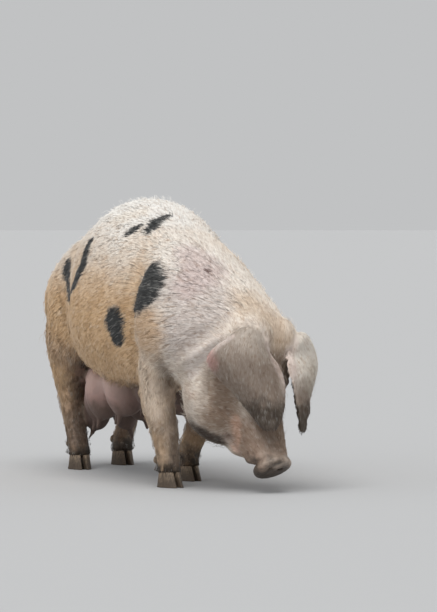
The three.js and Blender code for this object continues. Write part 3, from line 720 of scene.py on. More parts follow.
# Soft patches of colour laid one over the other: on her body, on both sides of her head, and on her ears.
# Some of them are painted shade in folds and hollows, and one is painted light.
patches = {
    "hump": {"colour": (0.84, 0.74, 0.62), "share": 0.5, "beads": [
        (0.049, -0.113, 0.806, 0.05), (0.01, -0.16, 0.79, 0.05)]},
    "side of the neck": {"colour": (0.6, 0.53, 0.5), "share": 0.8, "beads": [
        (0.474, -0.098, 0.595, 0.142), (0.535, -0.06, 0.55, 0.105), (0.5, -0.12, 0.48, 0.12)]},
    "rubbed place": {"colour": (0.6, 0.47, 0.45), "share": 0.65, "beads": [
        (0.366, -0.065, 0.692, 0.06), (0.44, -0.035, 0.645, 0.085), (0.458, -0.09, 0.6, 0.07)]},
    "right shoulder": {"colour": (0.66, 0.43, 0.24), "share": 0.78, "beads": [
        (0.345, -0.205, 0.53, 0.075), (0.39, -0.203, 0.465, 0.095)]},
    # painted shade in the breast fold and armpit
    "breast fold": {"colour": (0.22, 0.155, 0.11), "share": 0.65, "beads": [
        (0.41, -0.155, 0.362, 0.03), (0.35, -0.135, 0.31, 0.045)]},
    "right elbow": {"colour": (1.0, 0.83, 0.66), "share": 0.82, "beads": [
        (0.32, -0.188, 0.345, 0.06), (0.322, -0.17, 0.24, 0.055)]},
    "right shin": {"colour": (0.95, 0.68, 0.44), "share": 0.85, "beads": [
        (0.322, -0.155, 0.13, 0.05), (0.326, -0.15, 0.08, 0.045)]},
    "poll": {"colour": (0.64, 0.48, 0.33), "share": 0.6, "beads": [
        (0.56, 0.06, 0.54, 0.08), (0.585, 0.125, 0.47, 0.095)]},
    "forehead": {"colour": (0.55, 0.405, 0.28), "share": 0.65, "beads": [
        (0.605, 0.125, 0.41, 0.075)]},
    # painted shade between the right hind leg and the udder, with some mud
    "front of the right hind leg": {"colour": (0.045, 0.028, 0.018), "share": 0.94, "beads": [
        (-0.43, -0.125, 0.33, 0.085), (-0.47, -0.128, 0.11, 0.085)]},
    # painted shade on the front of the udder, under her forelegs
    "shade in front of the udder": {"colour": (0.085, 0.055, 0.045), "share": 0.9, "beads": [
        (0.06, -0.11, 0.235, 0.095), (0.13, 0.06, 0.23, 0.095)]},
    "lower ham": {"colour": (0.4, 0.285, 0.205), "share": 0.55, "beads": [
        (-0.52, -0.2, 0.4, 0.09), (-0.44, -0.2, 0.37, 0.06)]},
    # painted shade on the inner sides of the forelegs, where they face each other
    "inside of the forelegs": {"colour": (0.13, 0.085, 0.055), "share": 0.8, "beads": [
        (0.372, -0.085, 0.22, 0.055), (0.365, -0.095, 0.07, 0.05)]},
    "left hind leg": {"colour": (0.22, 0.15, 0.1), "share": 0.75, "beads": [
        (-0.56, 0.06, 0.3, 0.1), (-0.56, 0.06, 0.08, 0.11)]},
}
headPatches = {
    "cheek": {"colour": (0.28, 0.185, 0.12), "share": 0.88, "beads": [
        (0.13, 0.125, -0.02, 0.06), (0.225, 0.105, -0.045, 0.08)]},
    # painted shade under the jowl, with some mud
    "under the jowl": {"colour": (0.075, 0.05, 0.034), "share": 0.9, "beads": [
        (0.255, 0.12, -0.165, 0.048), (0.275, 0.05, -0.15, 0.08)]},
    "edge of the jowl": {"colour": (0.84, 0.66, 0.54), "share": 0.55, "beads": [
        (0.13, 0.165, -0.15, 0.03), (0.16, 0.16, -0.12, 0.024)]},
    # painted shade on the front of the face below the forehead, between the ears
    "bridge": {"colour": (0.24, 0.17, 0.12), "share": 0.8, "beads": [
        (0.11, 0.02, 0.085, 0.07), (0.3, 0.02, 0.07, 0.08)]},
    "muzzle": {"colour": (0.32, 0.21, 0.145), "share": 0.87, "beads": [
        (0.29, 0.05, 0.0, 0.08), (0.37, 0.05, 0.0, 0.09)]},
    # painted shade in the hollow between the jowl and the muzzle, with some mud
    "before the jowl": {"colour": (0.045, 0.028, 0.018), "share": 0.92, "beads": [
        (0.262, 0.1, -0.125, 0.034), (0.292, 0.064, -0.1, 0.036)]},
    "side of the lip": {"colour": (0.72, 0.47, 0.35), "share": 0.75, "beads": [
        (0.245, 0.078, -0.018, 0.024), (0.284, 0.06, -0.032, 0.024), (0.318, 0.046, -0.058, 0.02)]},
    # pale hair on the fold by the ear, brightened past the cream as painted light against the ear's shadow
    "fold by the ear": {"colour": (1.0, 0.9, 0.83), "share": 0.9, "beads": [
        (0.096, 0.152, -0.115, 0.026), (0.064, 0.168, -0.07, 0.035), (0.04, 0.163, -0.026, 0.035),
        (0.018, 0.149, 0.02, 0.028)]},
}
earPatches = {
    "rear rim": {"colour": (0.93, 0.8, 0.74), "share": 0.75, "beads": [
        (0.622, -0.08, 0.418, 0.018), (0.655, -0.036, 0.462, 0.018)]},
    "flush": {"colour": (0.62, 0.34, 0.31), "share": 0.62, "beads": [
        (0.604, -0.088, 0.396, 0.042), (0.614, -0.082, 0.384, 0.038)]},
    "outer side of the left ear": {"colour": (0.48, 0.42, 0.34), "share": 0.5, "beads": [
        (0.575, 0.252, 0.35, 0.045), (0.59, 0.235, 0.31, 0.04)]},
}
hideColours = {
    "cream": (0.93, 0.905, 0.86),
    "tan": (0.80, 0.53, 0.285),
    "golden": (0.60, 0.37, 0.18),
    # dirt and painted shade on her underside and legs
    "dirtAndShade": (0.36, 0.25, 0.175),
    "pink": (0.66, 0.42, 0.36),
    "bag": (0.40, 0.25, 0.225),
    "bagVeins": (0.30, 0.20, 0.185),
    "bagTop": (0.52, 0.365, 0.325),
    # painted shade under the udder and in front of it
    "bagShadeBelow": (0.075, 0.048, 0.038),
    "bagShadeFront": (0.085, 0.055, 0.042),
    "earWhite": (0.84, 0.78, 0.70),
    "earGrey": (0.55, 0.475, 0.405),
    "earRim": (0.84, 0.68, 0.62),
    "dusk": (0.30, 0.228, 0.18),
    "black": (0.028, 0.030, 0.031),
    "blackSkin": (0.075, 0.078, 0.082),
    "markFringe": (0.30, 0.28, 0.27),
    "mud": (0.055, 0.038, 0.025),
    "dryMud": (0.20, 0.145, 0.10),
    "scab": (0.10, 0.045, 0.035),
    "lips": (0.55, 0.34, 0.29),
    "lid": (0.30, 0.19, 0.16),
    "hairShadeTint": (0.52, 0.40, 0.31),
    "hairGlint": (0.95, 0.92, 0.86),
}
scab = (0.448, -0.030, 0.641)


def gapTo(shader, place, spot):
    return shader.vector("LENGTH", shader.vector("SUBTRACT", place, tuple(spot)))


def gapToBeads(shader, place, beads):
    # how far a place is from a line of beads: 1 where they end
    nearest = None
    for start, end in zip(beads, beads[1:] or beads):
        span = Vector(end[:3]) - Vector(start[:3])
        way = shader.vector("SUBTRACT", place, tuple(start[:3]))
        reach = start[3]
        if span.length > 0:
            share = shader.vector("DOT_PRODUCT", way, tuple(span / span.length_squared)).kept()
            way = shader.vector("SUBTRACT", way, shader.scaled(tuple(span), share))
            reach = share * (end[3] - start[3]) + start[3]
        gap = shader.vector("LENGTH", way) / reach
        nearest = gap if nearest is None else shader.maths("MINIMUM", nearest, gap)
    return nearest


def markEdge(shader, place, drift):
    # 1 where a mark ends, less inside it
    moved = shader.vector("ADD", place, drift)
    nearest = None
    for beads in marks.values():
        gap = gapToBeads(shader, moved, beads)
        nearest = gap if nearest is None else shader.maths("MINIMUM", nearest, gap)
    return nearest


def onBothSides(chosen):
    # the patches of her head in her own coordinates, once for each side
    for patch in chosen.values():
        for sign in (-1, 1):
            yield patch | {"beads": [(*onHead(a, sign * b, c), reach) for a, b, c, reach in patch["beads"]]}


def patched(shader, place, body, chosen, wander, most=1.0):
    # lays soft patches over a colour
    for patch in chosen:
        inside = (gapToBeads(shader, place, patch["beads"]) + wander).eased(1.15, 0.3)
        body = shader.mixed(body, patch["colour"], inside * patch["share"] * most)
    return body


def readSpot(shader, place):
    # where a place is, and the noises that more than one part of the paint reads there
    forward, leftward, height = shader.add("ShaderNodeSeparateXYZ", None, {0: place})
    drawn = shader.vector("MULTIPLY", place, (1, 1, 0.3))
    spot = {"place": place, "forward": forward, "leftward": leftward, "height": height}
    spot["broad"] = shader.noise(place, 0.16, 3)
    spot["fine"] = shader.noise(place, 0.020, 3)
    spot["streaks"] = shader.noise(drawn, 0.035, 3)
    return spot


def bodyPaint(shader, spot, hair, wander):
    # cream above, tan and golden on her sides and darker below with dirt and painted shade, under the soft
    # patches
    colours = hideColours
    height, forward, broad = spot["height"], spot["forward"], spot["broad"]
    low = (height + (broad - 0.5) * 0.24).eased(0.82, 0.50)
    tanned = low * (0.28 + forward.eased(0.42, 0.20) * 0.68)
    body = shader.mixed(colours["cream"], colours["tan"], tanned)
    body = shader.mixed(body, colours["golden"], (spot["streaks"] - 0.45).eased(0, 0.25) * tanned * 0.45)
    # painted shade on her underside, mixed with dirt: darker towards the bottom
    below = (height + (broad - 0.5) * 0.2).eased(0.44, 0.12)
    body = shader.mixed(body, colours["dirtAndShade"], below * (0.28 + forward.eased(0.2, -0.2) * 0.2))
    body = patched(shader, spot["place"], body, [*patches.values(), *onBothSides(headPatches)], wander)
    if not hair:
        body = shader.mixed(shader.mixed(body, (0, 0, 0), 0.12), colours["pink"], 0.12)
    sore = gapTo(shader, spot["place"], scab) + (spot["fine"] - 0.5) * 0.02
    return shader.mixed(body, colours["scab"], sore.eased(0.013, 0.007))


def bagPaint(shader, spot):
    # the bare udder: pink and veined above, with painted shade below it and in front of it
    colours = hideColours
    veins = shader.noise(spot["place"], 0.040, 2) - 0.5
    bag = shader.mixed(colours["bag"], colours["bagVeins"], veins.eased(-0.08, 0.14))
    bag = shader.mixed(bag, colours["bagTop"], spot["height"].eased(0.22, 0.31))
    # painted shade on the underside of the bag
    bag = shader.mixed(bag, colours["bagShadeBelow"], (spot["height"] + veins * 0.08).eased(0.255, 0.190) * 0.90)
    # painted shade where the forelegs shade the front of the bag
    return shader.mixed(bag, colours["bagShadeFront"], spot["forward"].eased(-0.06, 0.03) * 0.85)


def earPaint(shader, spot):
    # the right ear is greyer, and both are darker towards their tips
    colours = hideColours
    right = spot["leftward"].eased(0.14, 0.09)
    hang = spot["height"] + (spot["fine"] - 0.5) * 0.05 + (spot["broad"] - 0.5) * 0.10
    leaf = shader.mixed(colours["earWhite"], colours["earGrey"], right)
    shade = hang.eased(0.47, 0.36) * right + hang.eased(0.35, 0.27) * (1 - right)
    leaf = shader.mixed(leaf, colours["dusk"], shade * (spot["streaks"] - 0.30).eased(-0.1, 0.3, 0.6, 1.0))
    return shader.mixed(leaf, colours["dusk"], spot["leftward"].eased(0.03, -0.06) * 0.55)


def markPaint(shader, spot, body, hair):
    # the black marks, ragged where hair crosses their edge and grey round them on the skin
    clouds = shader.add("ShaderNodeTexNoise", None, {"Vector": spot["place"], "Scale": 30.0, "Detail": 2.0})
    drift = shader.scaled(shader.vector("SUBTRACT", clouds[1], (0.5, 0.5, 0.5)), 0.018)
    edge = markEdge(shader, spot["place"], drift)
    rough = (spot["fine"] - 0.5) * 0.20
    if not hair:
        return shader.mixed(body, hideColours["blackSkin"], (edge + rough).eased(1.30, 1.02))
    ragged = edge + rough + (shader.field("tone") - 0.5) * 0.36
    body = shader.mixed(body, hideColours["markFringe"], ragged.eased(1.26, 1.06) * 0.55)
    return shader.mixed(body, hideColours["black"], ragged.eased(1.13, 0.92))


def dirtPaint(shader, spot, body, ear):
    # mud on her feet, her snout and the tips of her ears, and dust with painted shade in the folds
    colours = hideColours
    grime = shader.noise(spot["place"], 0.05, 4, 0.65) - 0.5
    muddy = shader.maths("MAXIMUM", shader.field("legs"), shader.field("nose"))
    wet = (spot["height"] + grime * 0.20).eased(0.125, 0.045) * muddy
    tips = (spot["height"] + grime * 0.14).eased(0.300, 0.235) * ear
    dry = (spot["height"] + grime * 0.4).eased(0.30, 0.08) * muddy
    # dust and painted shade in the hollows and creases, less on the head
    folds = shader.field("hollow").eased(0.30, 1.0) * (1 - shader.field("head") * 0.75)
    body = shader.mixed(body, colours["dryMud"], dry * 0.42)
    body = shader.mixed(body, colours["mud"], shader.maths("MAXIMUM", wet, tips * 0.85))
    return shader.mixed(body, colours["dryMud"], folds * 0.45), wet


def hidePaint(shader, place, hair):
    # the colour of skin or hair at a place on her, and how wet it is there
    spot = readSpot(shader, place)
    wander = (spot["fine"] - 0.5) * 0.5 + (spot["broad"] - 0.5) * 0.4
    ear = shader.field("ear")
    body = bodyPaint(shader, spot, hair, wander)
    body = shader.mixed(body, bagPaint(shader, spot), shader.field("udder") * 0.95)
    body = shader.mixed(body, earPaint(shader, spot), ear * 0.92)
    rim = shader.field("rim") * spot["height"].eased(0.24, 0.34)
    body = shader.mixed(body, hideColours["earRim"], rim * (0.6 if hair else 0.85))
    body = patched(shader, place, body, earPatches.values(), wander, ear)
    body = shader.mixed(body, hideColours["lips"], shader.field("lips") * (0.25 if hair else 0.6))
    body = shader.mixed(body, hideColours["lid"], shader.field("eye") * (0.3 if hair else 0.75))
    body = markPaint(shader, spot, body, hair)
    return dirtPaint(shader, spot, body, ear)


def skinMaterial():
    shader = Shader("hide")
    place = shader.add("ShaderNodeTexCoord")[3]
    colour, wet = hidePaint(shader, place, False)
    relief = shader.bump(shader.noise(place, 0.0035, 2) * 0.35 + shader.noise(place, 0.014, 3), 0.0018)
    return shader.surface({"Base Color": colour, "Roughness": 0.62 - wet * 0.25, "Normal": relief})


def coatMaterial():
    # hair is read at its seat, where it shows most, and each tuft has its own random tone; darker tufts get
    # painted shade among the locks
    shader = Shader("coat")
    colour, wet = hidePaint(shader, shader.field("seat", True), True)
    tone = shader.field("tone")
    # a shaded copy of the hair colour: painted shade among the locks on the darker tufts
    deep = shader.mixed(colour, hideColours["hairShadeTint"], 1.0, "MULTIPLY")
    colour = shader.mixed(colour, deep, tone.eased(0.62, 0.05) * 0.80)
    colour = shader.mixed(colour, hideColours["hairGlint"], tone.eased(0.55, 1.0) * 0.24)
    return shader.surface({"Base Color": colour, "Roughness": 0.5 - wet * 0.1})


skin.data.materials.append(skinMaterial())

# How her coat grows on each part: the number of tufts, how long and wide they are,
# how far they stand out and how wavy they lie.
coat = {
    "head": {"tufts": 33000, "length": 0.017, "width": 0.0015, "lift": 0.10, "wave": 0.12},
    "ears": {"tufts": 24000, "length": 0.016, "width": 0.0011, "lift": 0.10, "wave": 0.10},
    "neck": {"tufts": 16000, "length": 0.030, "width": 0.0018, "lift": 0.10, "wave": 0.16},
    "shoulder_right": {"tufts": 23000, "length": 0.030, "width": 0.0018, "lift": 0.10, "wave": 0.16},
    "shoulder_left": {"tufts": 17000, "length": 0.030, "width": 0.0019, "lift": 0.10, "wave": 0.16},
    "barrel_right": {"tufts": 27000, "length": 0.027, "width": 0.0019, "lift": 0.07, "wave": 0.08},
    "barrel_left": {"tufts": 22000, "length": 0.028, "width": 0.0020, "lift": 0.07, "wave": 0.08},
    "loin": {"tufts": 27000, "length": 0.028, "width": 0.0021, "lift": 0.07, "wave": 0.08},
    "rump": {"tufts": 25000, "length": 0.026, "width": 0.0020, "lift": 0.09, "wave": 0.10},
    "legs": {"tufts": 27000, "length": 0.014, "width": 0.0013, "lift": 0.07, "wave": 0.10},
}
bristles = {"tufts": 2200, "length": 0.034, "width": 0.0008, "lift": 0.38, "wave": 0.25}
growth = {
    "lock": 6,  # one tuft in so many leads the others round it
    "gather": 0.35,  # how far the tips of a lock draw together
    "strays": 0.02,
    "strayLift": 0.22,
    "middle": 0.40,  # where along it a tuft is widest
    "seat": 0.45,  # where along it its colour is read
    "sunk": 0.0008,  # how deep its root is
    "patch": 0.0015,  # half the size of its place on the map
}


def partOf(places, own):
    # which coat piece grows at each place
    along, left, _ = bodySense(places)
    part = np.full(len(places), "", object)
    part[along < -0.33] = "rump"
    part[(along >= -0.33) & (along < -0.08)] = "loin"
    barrel = (along >= -0.08) & (along < 0.25)
    part[barrel & (left < 0)] = "barrel_right"
    part[barrel & (left >= 0)] = "barrel_left"
    shoulder = (along >= 0.25) & (along < 0.5)
    part[shoulder & (left < 0)] = "shoulder_right"
    part[shoulder & (left >= 0)] = "shoulder_left"
    part[along >= 0.5] = "neck"
    part[own["head"] > 0.5] = "head"
    part[own["legs"] > 0.5] = "legs"
    part[own["ear"] > 0.5] = "ears"
    part[(own["udder"] > 0.45) | (own["nose"] > 0.75) | (own["eye"] > 0.85)] = "bare"
    return part


def lieOf(places, own):
    # the way the hair points: back along her, down her sides and legs, from the nose to the poll
    # and out along the ears
    _, left, turn = bodySense(places)
    drop = 0.14 + 0.36 * ease(0.30, 0.10, places[:, 0]) + 0.5 * ease(0.50, 0.28, places[:, 2])
    drop += 0.5 * ease(-0.30, -0.60, places[:, 0])
    way = np.stack((-np.cos(turn), -np.sin(turn), -drop), 1)
    along, side, out = headSense(places).T
    brow = ease(-0.03, 0.06, out)[:, None]
    face = -headAxes[0] * (0.35 + 0.6 * brow) - headAxes[2] * (0.95 - 0.7 * brow)
    face = face + headAxes[1] * (np.clip(side / 0.1, -1, 1) * 0.25)[:, None]
    way += (face - way) * own["head"][:, None]
    way += (np.array((0, 0, -1.0)) - way) * own["tail"][:, None]
    down = np.tile((-0.12, 0.0, -1.0), (len(places), 1))
    way += (down - way) * own["legs"][:, None]
    for sign in (-1, 1):
        base = onHead(0.0, sign * 0.085, 0.075)
        tip = onHead(0.29, sign * 0.10, 0.085)
        ear = unit(places - base) + 0.6 * unit(tip - base)
        share = own["ear"] * (np.sign(side) == sign)
        way += (ear - way) * share[:, None]
    return unit(way)


def overSkin(points, wanted, up):
    # brings each point near the wanted height over the skin, so that hair neither dives in nor stands off
    near = nearestIn(skinTree, points)
    normals = hideNormals[near]
    height = ((points - hide.at[near]) * normals).sum(1)
    same = ease(0.1, 0.5, (normals * up).sum(1))
    return points + normals * ((wanted - height) * np.where(height < wanted, 1.0, 0.5) * same)[:, None]


def tuftArrays(root, up, lie, length, width, rise, curl, pull):
    # five corners and six faces for each tuft: a hidden root, a fuller middle and a point
    across = np.cross(up, lie)
    middle = root + lie * (length * growth["middle"])[:, None] + pull * 0.4
    middle = middle + across * (length * curl)[:, None]
    middle = overSkin(middle, length * rise * 0.8 + 0.0003, up)
    tip = root + lie * length[:, None] - across * (length * curl * 0.4)[:, None] + pull
    tip = overSkin(tip, length * rise + 0.0003, up)
    half = across * (width / 2)[:, None]
    ridge = middle + up * (width * 0.45)[:, None]
    corners = np.stack((root - up * growth["sunk"], middle - half, middle + half, ridge, tip), 1)
    soft = np.stack((up, unit(up - across * 0.45), unit(up + across * 0.45), up, unit(up + lie * 0.15)), 1)
    faces = np.array(((0, 2, 1), (0, 3, 2), (0, 1, 3), (4, 1, 2), (4, 2, 3), (4, 3, 1)))
    return corners, soft, faces


def tuftPiece(name, corners, soft, faces, fieldsAt, uvAt, material):
    count, size = corners.shape[:2]
    mesh = bpy.data.meshes.new(name)
    mesh.vertices.add(count * size)
    mesh.vertices.foreach_set("co", corners.reshape(-1).astype(np.float32))
    index = (faces[None] + (np.arange(count) * size)[:, None, None]).reshape(-1)
    mesh.loops.add(len(index))
    mesh.loops.foreach_set("vertex_index", index.astype(np.int32))
    mesh.polygons.add(len(index) // 3)
    mesh.polygons.foreach_set("loop_start", np.arange(0, len(index), 3, dtype=np.int32))
    mesh.polygons.foreach_set("use_smooth", np.ones(len(index) // 3, bool))
    for label, values in fieldsAt.items():
        kind, slot = ("FLOAT", "value") if values.ndim == 1 else ("FLOAT_VECTOR", "vector")
        layer = mesh.attributes.new(label, kind, "POINT")
        layer.data.foreach_set(slot, np.repeat(values, size, axis=0).astype(np.float32).ravel())
    patch = np.array(((0, -1), (-1, 0), (1, 0), (0, 0.1), (0, 1))) * growth["patch"]
    uv = (uvAt[:, None] + patch[None]).reshape(-1, 2)[index]
    layer = mesh.uv_layers.new(name="OFBake")
    layer.data.foreach_set("uv", uv.astype(np.float32).ravel())
    mesh.update()
    mesh.normals_split_custom_set_from_vertices(soft.reshape(-1, 3).astype(np.float32))
    mesh.materials.append(material)
    return objectOf(mesh, name)


def unwrapped(places, triangles):
    # a flat map of this part of the skin, as corners and their places on the map
    used, compact = np.unique(triangles, return_inverse=True)
    mesh = bpy.data.meshes.new("chart")
    mesh.from_pydata(places[used].tolist(), [], compact.reshape(-1, 3).tolist())
    thing = objectOf(mesh, "chart")
    thin = thing.modifiers.new("thin", "DECIMATE")
    thin.ratio = min(1.0, 2500 / len(triangles))
    mesh = applied(thing)
    bpy.context.view_layer.objects.active = thing
    bpy.ops.object.select_all(action="DESELECT")
    thing.select_set(True)
    bpy.ops.object.mode_set(mode="EDIT")
    bpy.ops.mesh.select_all(action="SELECT")
    bpy.ops.uv.smart_project(angle_limit=math.radians(66), island_margin=0.004)
    bpy.ops.object.mode_set(mode="OBJECT")
    mesh = thing.data
    at = np.zeros(len(mesh.vertices) * 3)
    mesh.vertices.foreach_get("co", at)
    loops = np.zeros(len(mesh.loops), np.int64)
    mesh.loops.foreach_get("vertex_index", loops)
    uv = np.zeros(len(mesh.loops) * 2)
    mesh.uv_layers.active.data.foreach_get("uv", uv)
    bpy.data.objects.remove(thing)
    return at.reshape(-1, 3)[loops].reshape(-1, 3, 3), uv.reshape(-1, 3, 2)


def chartPlaces(roots, corners, uv):
    # the place of each root on the map
    face = nearestIn(treeOf(corners.mean(1)), roots)
    a, b, c = (corners[face, k] for k in range(3))
    ab, ac, ap = b - a, c - a, roots - a
    abab, abac, acac = (ab * ab).sum(1), (ab * ac).sum(1), (ac * ac).sum(1)
    apab, apac = (ap * ab).sum(1), (ap * ac).sum(1)
    scale = np.maximum(abab * acac - abac * abac, 1e-14)
    toB = np.clip((acac * apab - abac * apac) / scale, 0, 1)
    toC = np.clip((abab * apac - abac * apab) / scale, 0, 1)
    spill = np.maximum(toB + toC, 1)
    toB, toC = toB / spill, toC / spill
    return uv[face, 0] * (1 - toB - toC)[:, None] + uv[face, 1] * toB[:, None] + uv[face, 2] * toC[:, None]


def scattered(area, triangles, wanted):
    # roots spread evenly: many are drawn, and one is kept in each small cell
    drawn = dice.choice(len(triangles), wanted * 4, p=area / area.sum())
    mix = dice.dirichlet((1, 1, 1), len(drawn))
    corners = triangles[drawn]
    places = (hide.at[corners] * mix[:, :, None]).sum(1)
    cell = math.sqrt(area.sum() / wanted) * 0.80
    while True:
        _, kept = np.unique(np.floor(places / cell).astype(np.int64), axis=0, return_index=True)
        if len(kept) >= wanted:
            break
        cell *= 0.94
    kept = dice.permutation(kept)[:wanted]
    return corners[kept], mix[kept], places[kept]


def outOfEar(places):
    # the way that the outer side of the nearer ear faces
    return (headAxes[2] + np.sign(headSense(places)[:, 1:2]) * headAxes[1]) * math.sqrt(0.5)


def combed(places, up, at, wave):
    # the lie of each tuft along the skin, with waves and swirls
    lie = lieOf(places, at)
    lie = unit(lie - up * (lie * up).sum(1)[:, None])
    swirl = wave * (ripple(places, 0.13, 3) + ripple(places, 0.05, 4))
    swirl += dice.normal(0, 0.05, len(places))
    return lie * np.cos(swirl)[:, None] + np.cross(up, lie) * np.sin(swirl)[:, None]


def shortened(places, up, at):
    # how much of its length the coat keeps: less on the face, tail and feet, and inside the ears
    short = 1 - 0.5 * at["nose"] - 0.4 * at["eye"] - 0.55 * at["tail"] - 0.4 * at["udder"]
    short *= 1 - 0.55 * ease(0.16, 0.07, places[:, 2])
    inner = ease(0.25, -0.1, (up * outOfEar(places)).sum(1))
    return short * (1 - 0.6 * at["ear"] * inner)


def growTufts(name, look, mine, share, material):
    # one piece of coat on the chosen faces, each with its share of the roots
    corners, mix, places = scattered(share[mine], hide.triangles[mine], look["tufts"])
    count = len(places)

    def blend(values):
        return (values[corners] * (mix[:, :, None] if values.ndim == 2 else mix)).sum(1)

    up = unit(blend(hideNormals))
    at = {label: blend(values) for label, values in fields.items()}
    lie = combed(places, up, at, look["wave"])
    length = look["length"] * shortened(places, up, at) * dice.uniform(0.75, 1.2, count)
    width = look["width"] * dice.uniform(0.7, 1.25, count)
    leader = nearestIn(treeOf(places[::growth["lock"]]), places) * growth["lock"]
    spread = places[leader] + lie[leader] * length[:, None] - places - lie * length[:, None]
    pull = (spread - up * (spread * up).sum(1)[:, None]) * growth["gather"]
    mood = dice.normal(0, 1, count)[leader]
    stray = dice.random(count) < growth["strays"]
    rise = np.clip(look["lift"] * (1 + 0.25 * mood) + dice.normal(0, 0.015, count), 0.03, 0.9)
    rise = (rise + stray * growth["strayLift"]) * (1 - 0.6 * ease(0.16, 0.07, places[:, 2]))
    curl = 0.05 * ripple(places, 0.05, 6) + dice.normal(0, 0.03, count)
    shapes, soft, faces = tuftArrays(places, up, lie, length, width, rise, curl, pull)
    at["tone"] = np.clip(0.5 + 0.13 * mood + dice.normal(0, 0.13, count), 0, 1)
    at["seat"] = places + lie * (length * growth["seat"])[:, None]
    uv = chartPlaces(places, *unwrapped(hide.at, hide.triangles[mine]))
    piece = tuftPiece(name, shapes, soft, faces, at, uv, material)
    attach(piece, "root")
    print(name, "grown with", count, "tufts")


def growCoat():
    material = coatMaterial()
    middles = hide.at[hide.triangles].mean(1)
    own = {name: values[hide.triangles].mean(1) for name, values in fields.items()}
    part = partOf(middles, own)
    p, q, r = (hide.at[hide.triangles[:, k]] for k in range(3))
    cross = np.cross(q - p, r - p)
    area = np.linalg.norm(cross, axis=1) / 2
    # none on the inner side of an ear's rim, where it would show from outside
    inner = (unit(cross) * outOfEar(middles)).sum(1) < 0.12
    area = np.where(inner & (own["rim"] > 0.12) & (own["ear"] > 0.5), 1e-12, area)
    for name, look in coat.items():
        growTufts("coat_" + name, look, part == name, area, material)
    # long single hairs: most on the crest of her neck and back, the rims of her ears and her throat
    along, left, _ = bodySense(middles)
    far, _, out = headSense(middles).T
    crest = ease(0.05, 0.015, np.abs(left)) * (middles[:, 2] > 0.48) * (own["head"] + own["ear"] < 0.5)
    throat = own["head"] * ease(-0.10, -0.16, out)
    chance = 0.04 + 1.1 * crest + 0.8 * throat + 1.2 * own["rim"] + 0.3 * own["head"] * ease(0.05, 0.0, far)
    growTufts("bristles", bristles, (part != "bare") & (part != "legs"), area * chance, material)


hideNormals = hide.normals()
skinTree = treeOf(hide.at)
growCoat()


def eyeMaterial():
    shader = Shader("eye")
    turn = shader.field("gaze")
    place = shader.add("ShaderNodeTexCoord")[3]
    grain = shader.noise(place, 0.0012, 3)
    white = shader.mixed((0.50, 0.38, 0.32), (0.42, 0.12, 0.09), (grain - 0.45).eased(0, 0.2) * 0.5)
    iris = shader.mixed((0.13, 0.060, 0.026), (0.26, 0.13, 0.055), grain.eased(0.4, 0.6))
    iris = shader.mixed(iris, (0.02, 0.012, 0.008), turn.eased(0.50, 0.62))
    colour = shader.mixed(iris, white, (turn + (grain - 0.5) * 0.04).eased(0.62, 0.72))
    colour = shader.mixed((0.004, 0.004, 0.005), colour, (turn + (grain - 0.5) * 0.03).eased(0.24, 0.29))
    return shader.surface({"Base Color": colour, "Roughness": 0.18, "Coat Weight": 1.0,
                           "Coat Roughness": 0.03})


def makeEyes():
    material = eyeMaterial()
    for name, sign in (("left", 1), ("right", -1)):
        _, centre, gaze, slit = eyeSense(hide.at[:1], sign)
        ball = bmesh.new()
        bmesh.ops.create_uvsphere(ball, u_segments=48, v_segments=40, radius=eyes["radius"])
        mesh = bpy.data.meshes.new("eyeball_" + name)
        ball.to_mesh(mesh)
        ball.free()
        surface = Surface(mesh)
        angle = np.arccos(np.clip(surface.at[:, 2] / eyes["radius"], -1, 1))
        surface.at *= (1 + eyes["cornea"] * np.maximum(1 - (angle / 0.66) ** 2, 0))[:, None]
        surface.at = centre + surface.at @ np.stack((slit, np.cross(gaze, slit), gaze))
        surface.write(mesh)
        layer = mesh.attributes.new("gaze", "FLOAT", "POINT")
        layer.data.foreach_set("value", angle.astype(np.float32))
        mesh.polygons.foreach_set("use_smooth", np.ones(len(mesh.polygons), bool))
        mesh.materials.append(material)
        piece = objectOf(mesh, "eyeball_" + name)
        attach(piece, "root")
        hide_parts("eye_" + name)


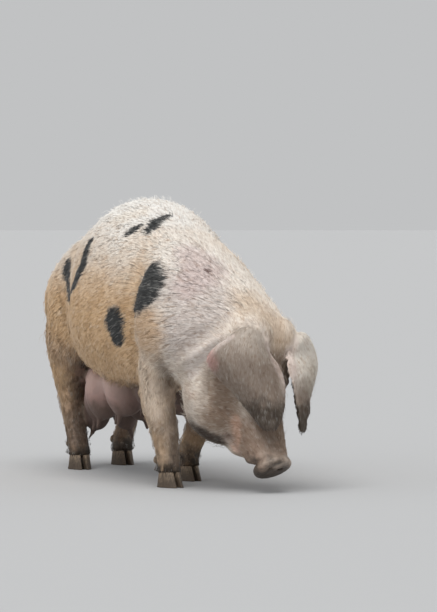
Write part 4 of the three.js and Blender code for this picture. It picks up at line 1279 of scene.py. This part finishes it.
def hornMaterial():
    shader = Shader("horn")
    place = shader.add("ShaderNodeTexCoord")[3]
    _, _, height = shader.add("ShaderNodeSeparateXYZ", None, {0: place})
    streaks = shader.noise(shader.vector("MULTIPLY", place, (1, 1, 0.12)), 0.0035, 3)
    rings = shader.maths("SINE", (height + shader.noise(place, 0.03) * 0.010) * 1500)
    grime = shader.noise(place, 0.016, 4, 0.65)
    colour = shader.mixed((0.30, 0.225, 0.155), (0.12, 0.088, 0.062), streaks.eased(0.35, 0.65))
    muddy = (height + (grime - 0.5) * 0.07).eased(0.050, 0.012)
    colour = shader.mixed(colour, hideColours["dryMud"], (grime - 0.45).eased(0, 0.2) * 0.6)
    colour = shader.mixed(colour, hideColours["mud"], muddy * 0.85)
    relief = shader.bump(rings * 0.10 + streaks * 0.5 + grime * muddy * 2.0, 0.0012)
    return shader.surface({"Base Color": colour, "Roughness": 0.55 + grime * 0.3, "Normal": relief})


def makeHooves():
    # the sixteen claws, rounded from copies of their solids, with a sharp edge round each sole
    nodes = [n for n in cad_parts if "claw" in n]
    whole = bmesh.new()
    for node in nodes:
        part = bmesh.new()
        part.from_mesh(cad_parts[node].data)
        bmesh.ops.remove_doubles(part, verts=part.verts, dist=1e-5)
        bmesh.ops.join_triangles(part, faces=part.faces, angle_face_threshold=0.3, angle_shape_threshold=3.0)
        crease = part.edges.layers.float.new("crease_edge")
        top = max(v.co.z for v in part.verts)
        for edge in part.edges:
            if all(v.co.z < 0.0008 for v in edge.verts):
                edge[crease] = 0.9
            elif node[:4] == "claw" and all(v.co.z > top - 0.0008 for v in edge.verts):
                edge[crease] = 0.35
        loose = bpy.data.meshes.new(node)
        part.to_mesh(loose)
        part.free()
        copy = objectOf(loose, node + "_round")
        levels = copy.modifiers.new("round", "SUBSURF")
        levels.levels = levels.render_levels = 3
        whole.from_mesh(applied(copy))
        bpy.data.objects.remove(copy)
    mesh = bpy.data.meshes.new("hooves")
    whole.to_mesh(mesh)
    whole.free()
    mesh.polygons.foreach_set("use_smooth", np.ones(len(mesh.polygons), bool))
    mesh.materials.append(hornMaterial())
    piece = objectOf(mesh, "hooves")
    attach(piece, "root")
    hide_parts(*nodes)


makeEyes()
makeHooves()
print("eyes and hooves made")
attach(skin, "root")
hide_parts(*flesh)
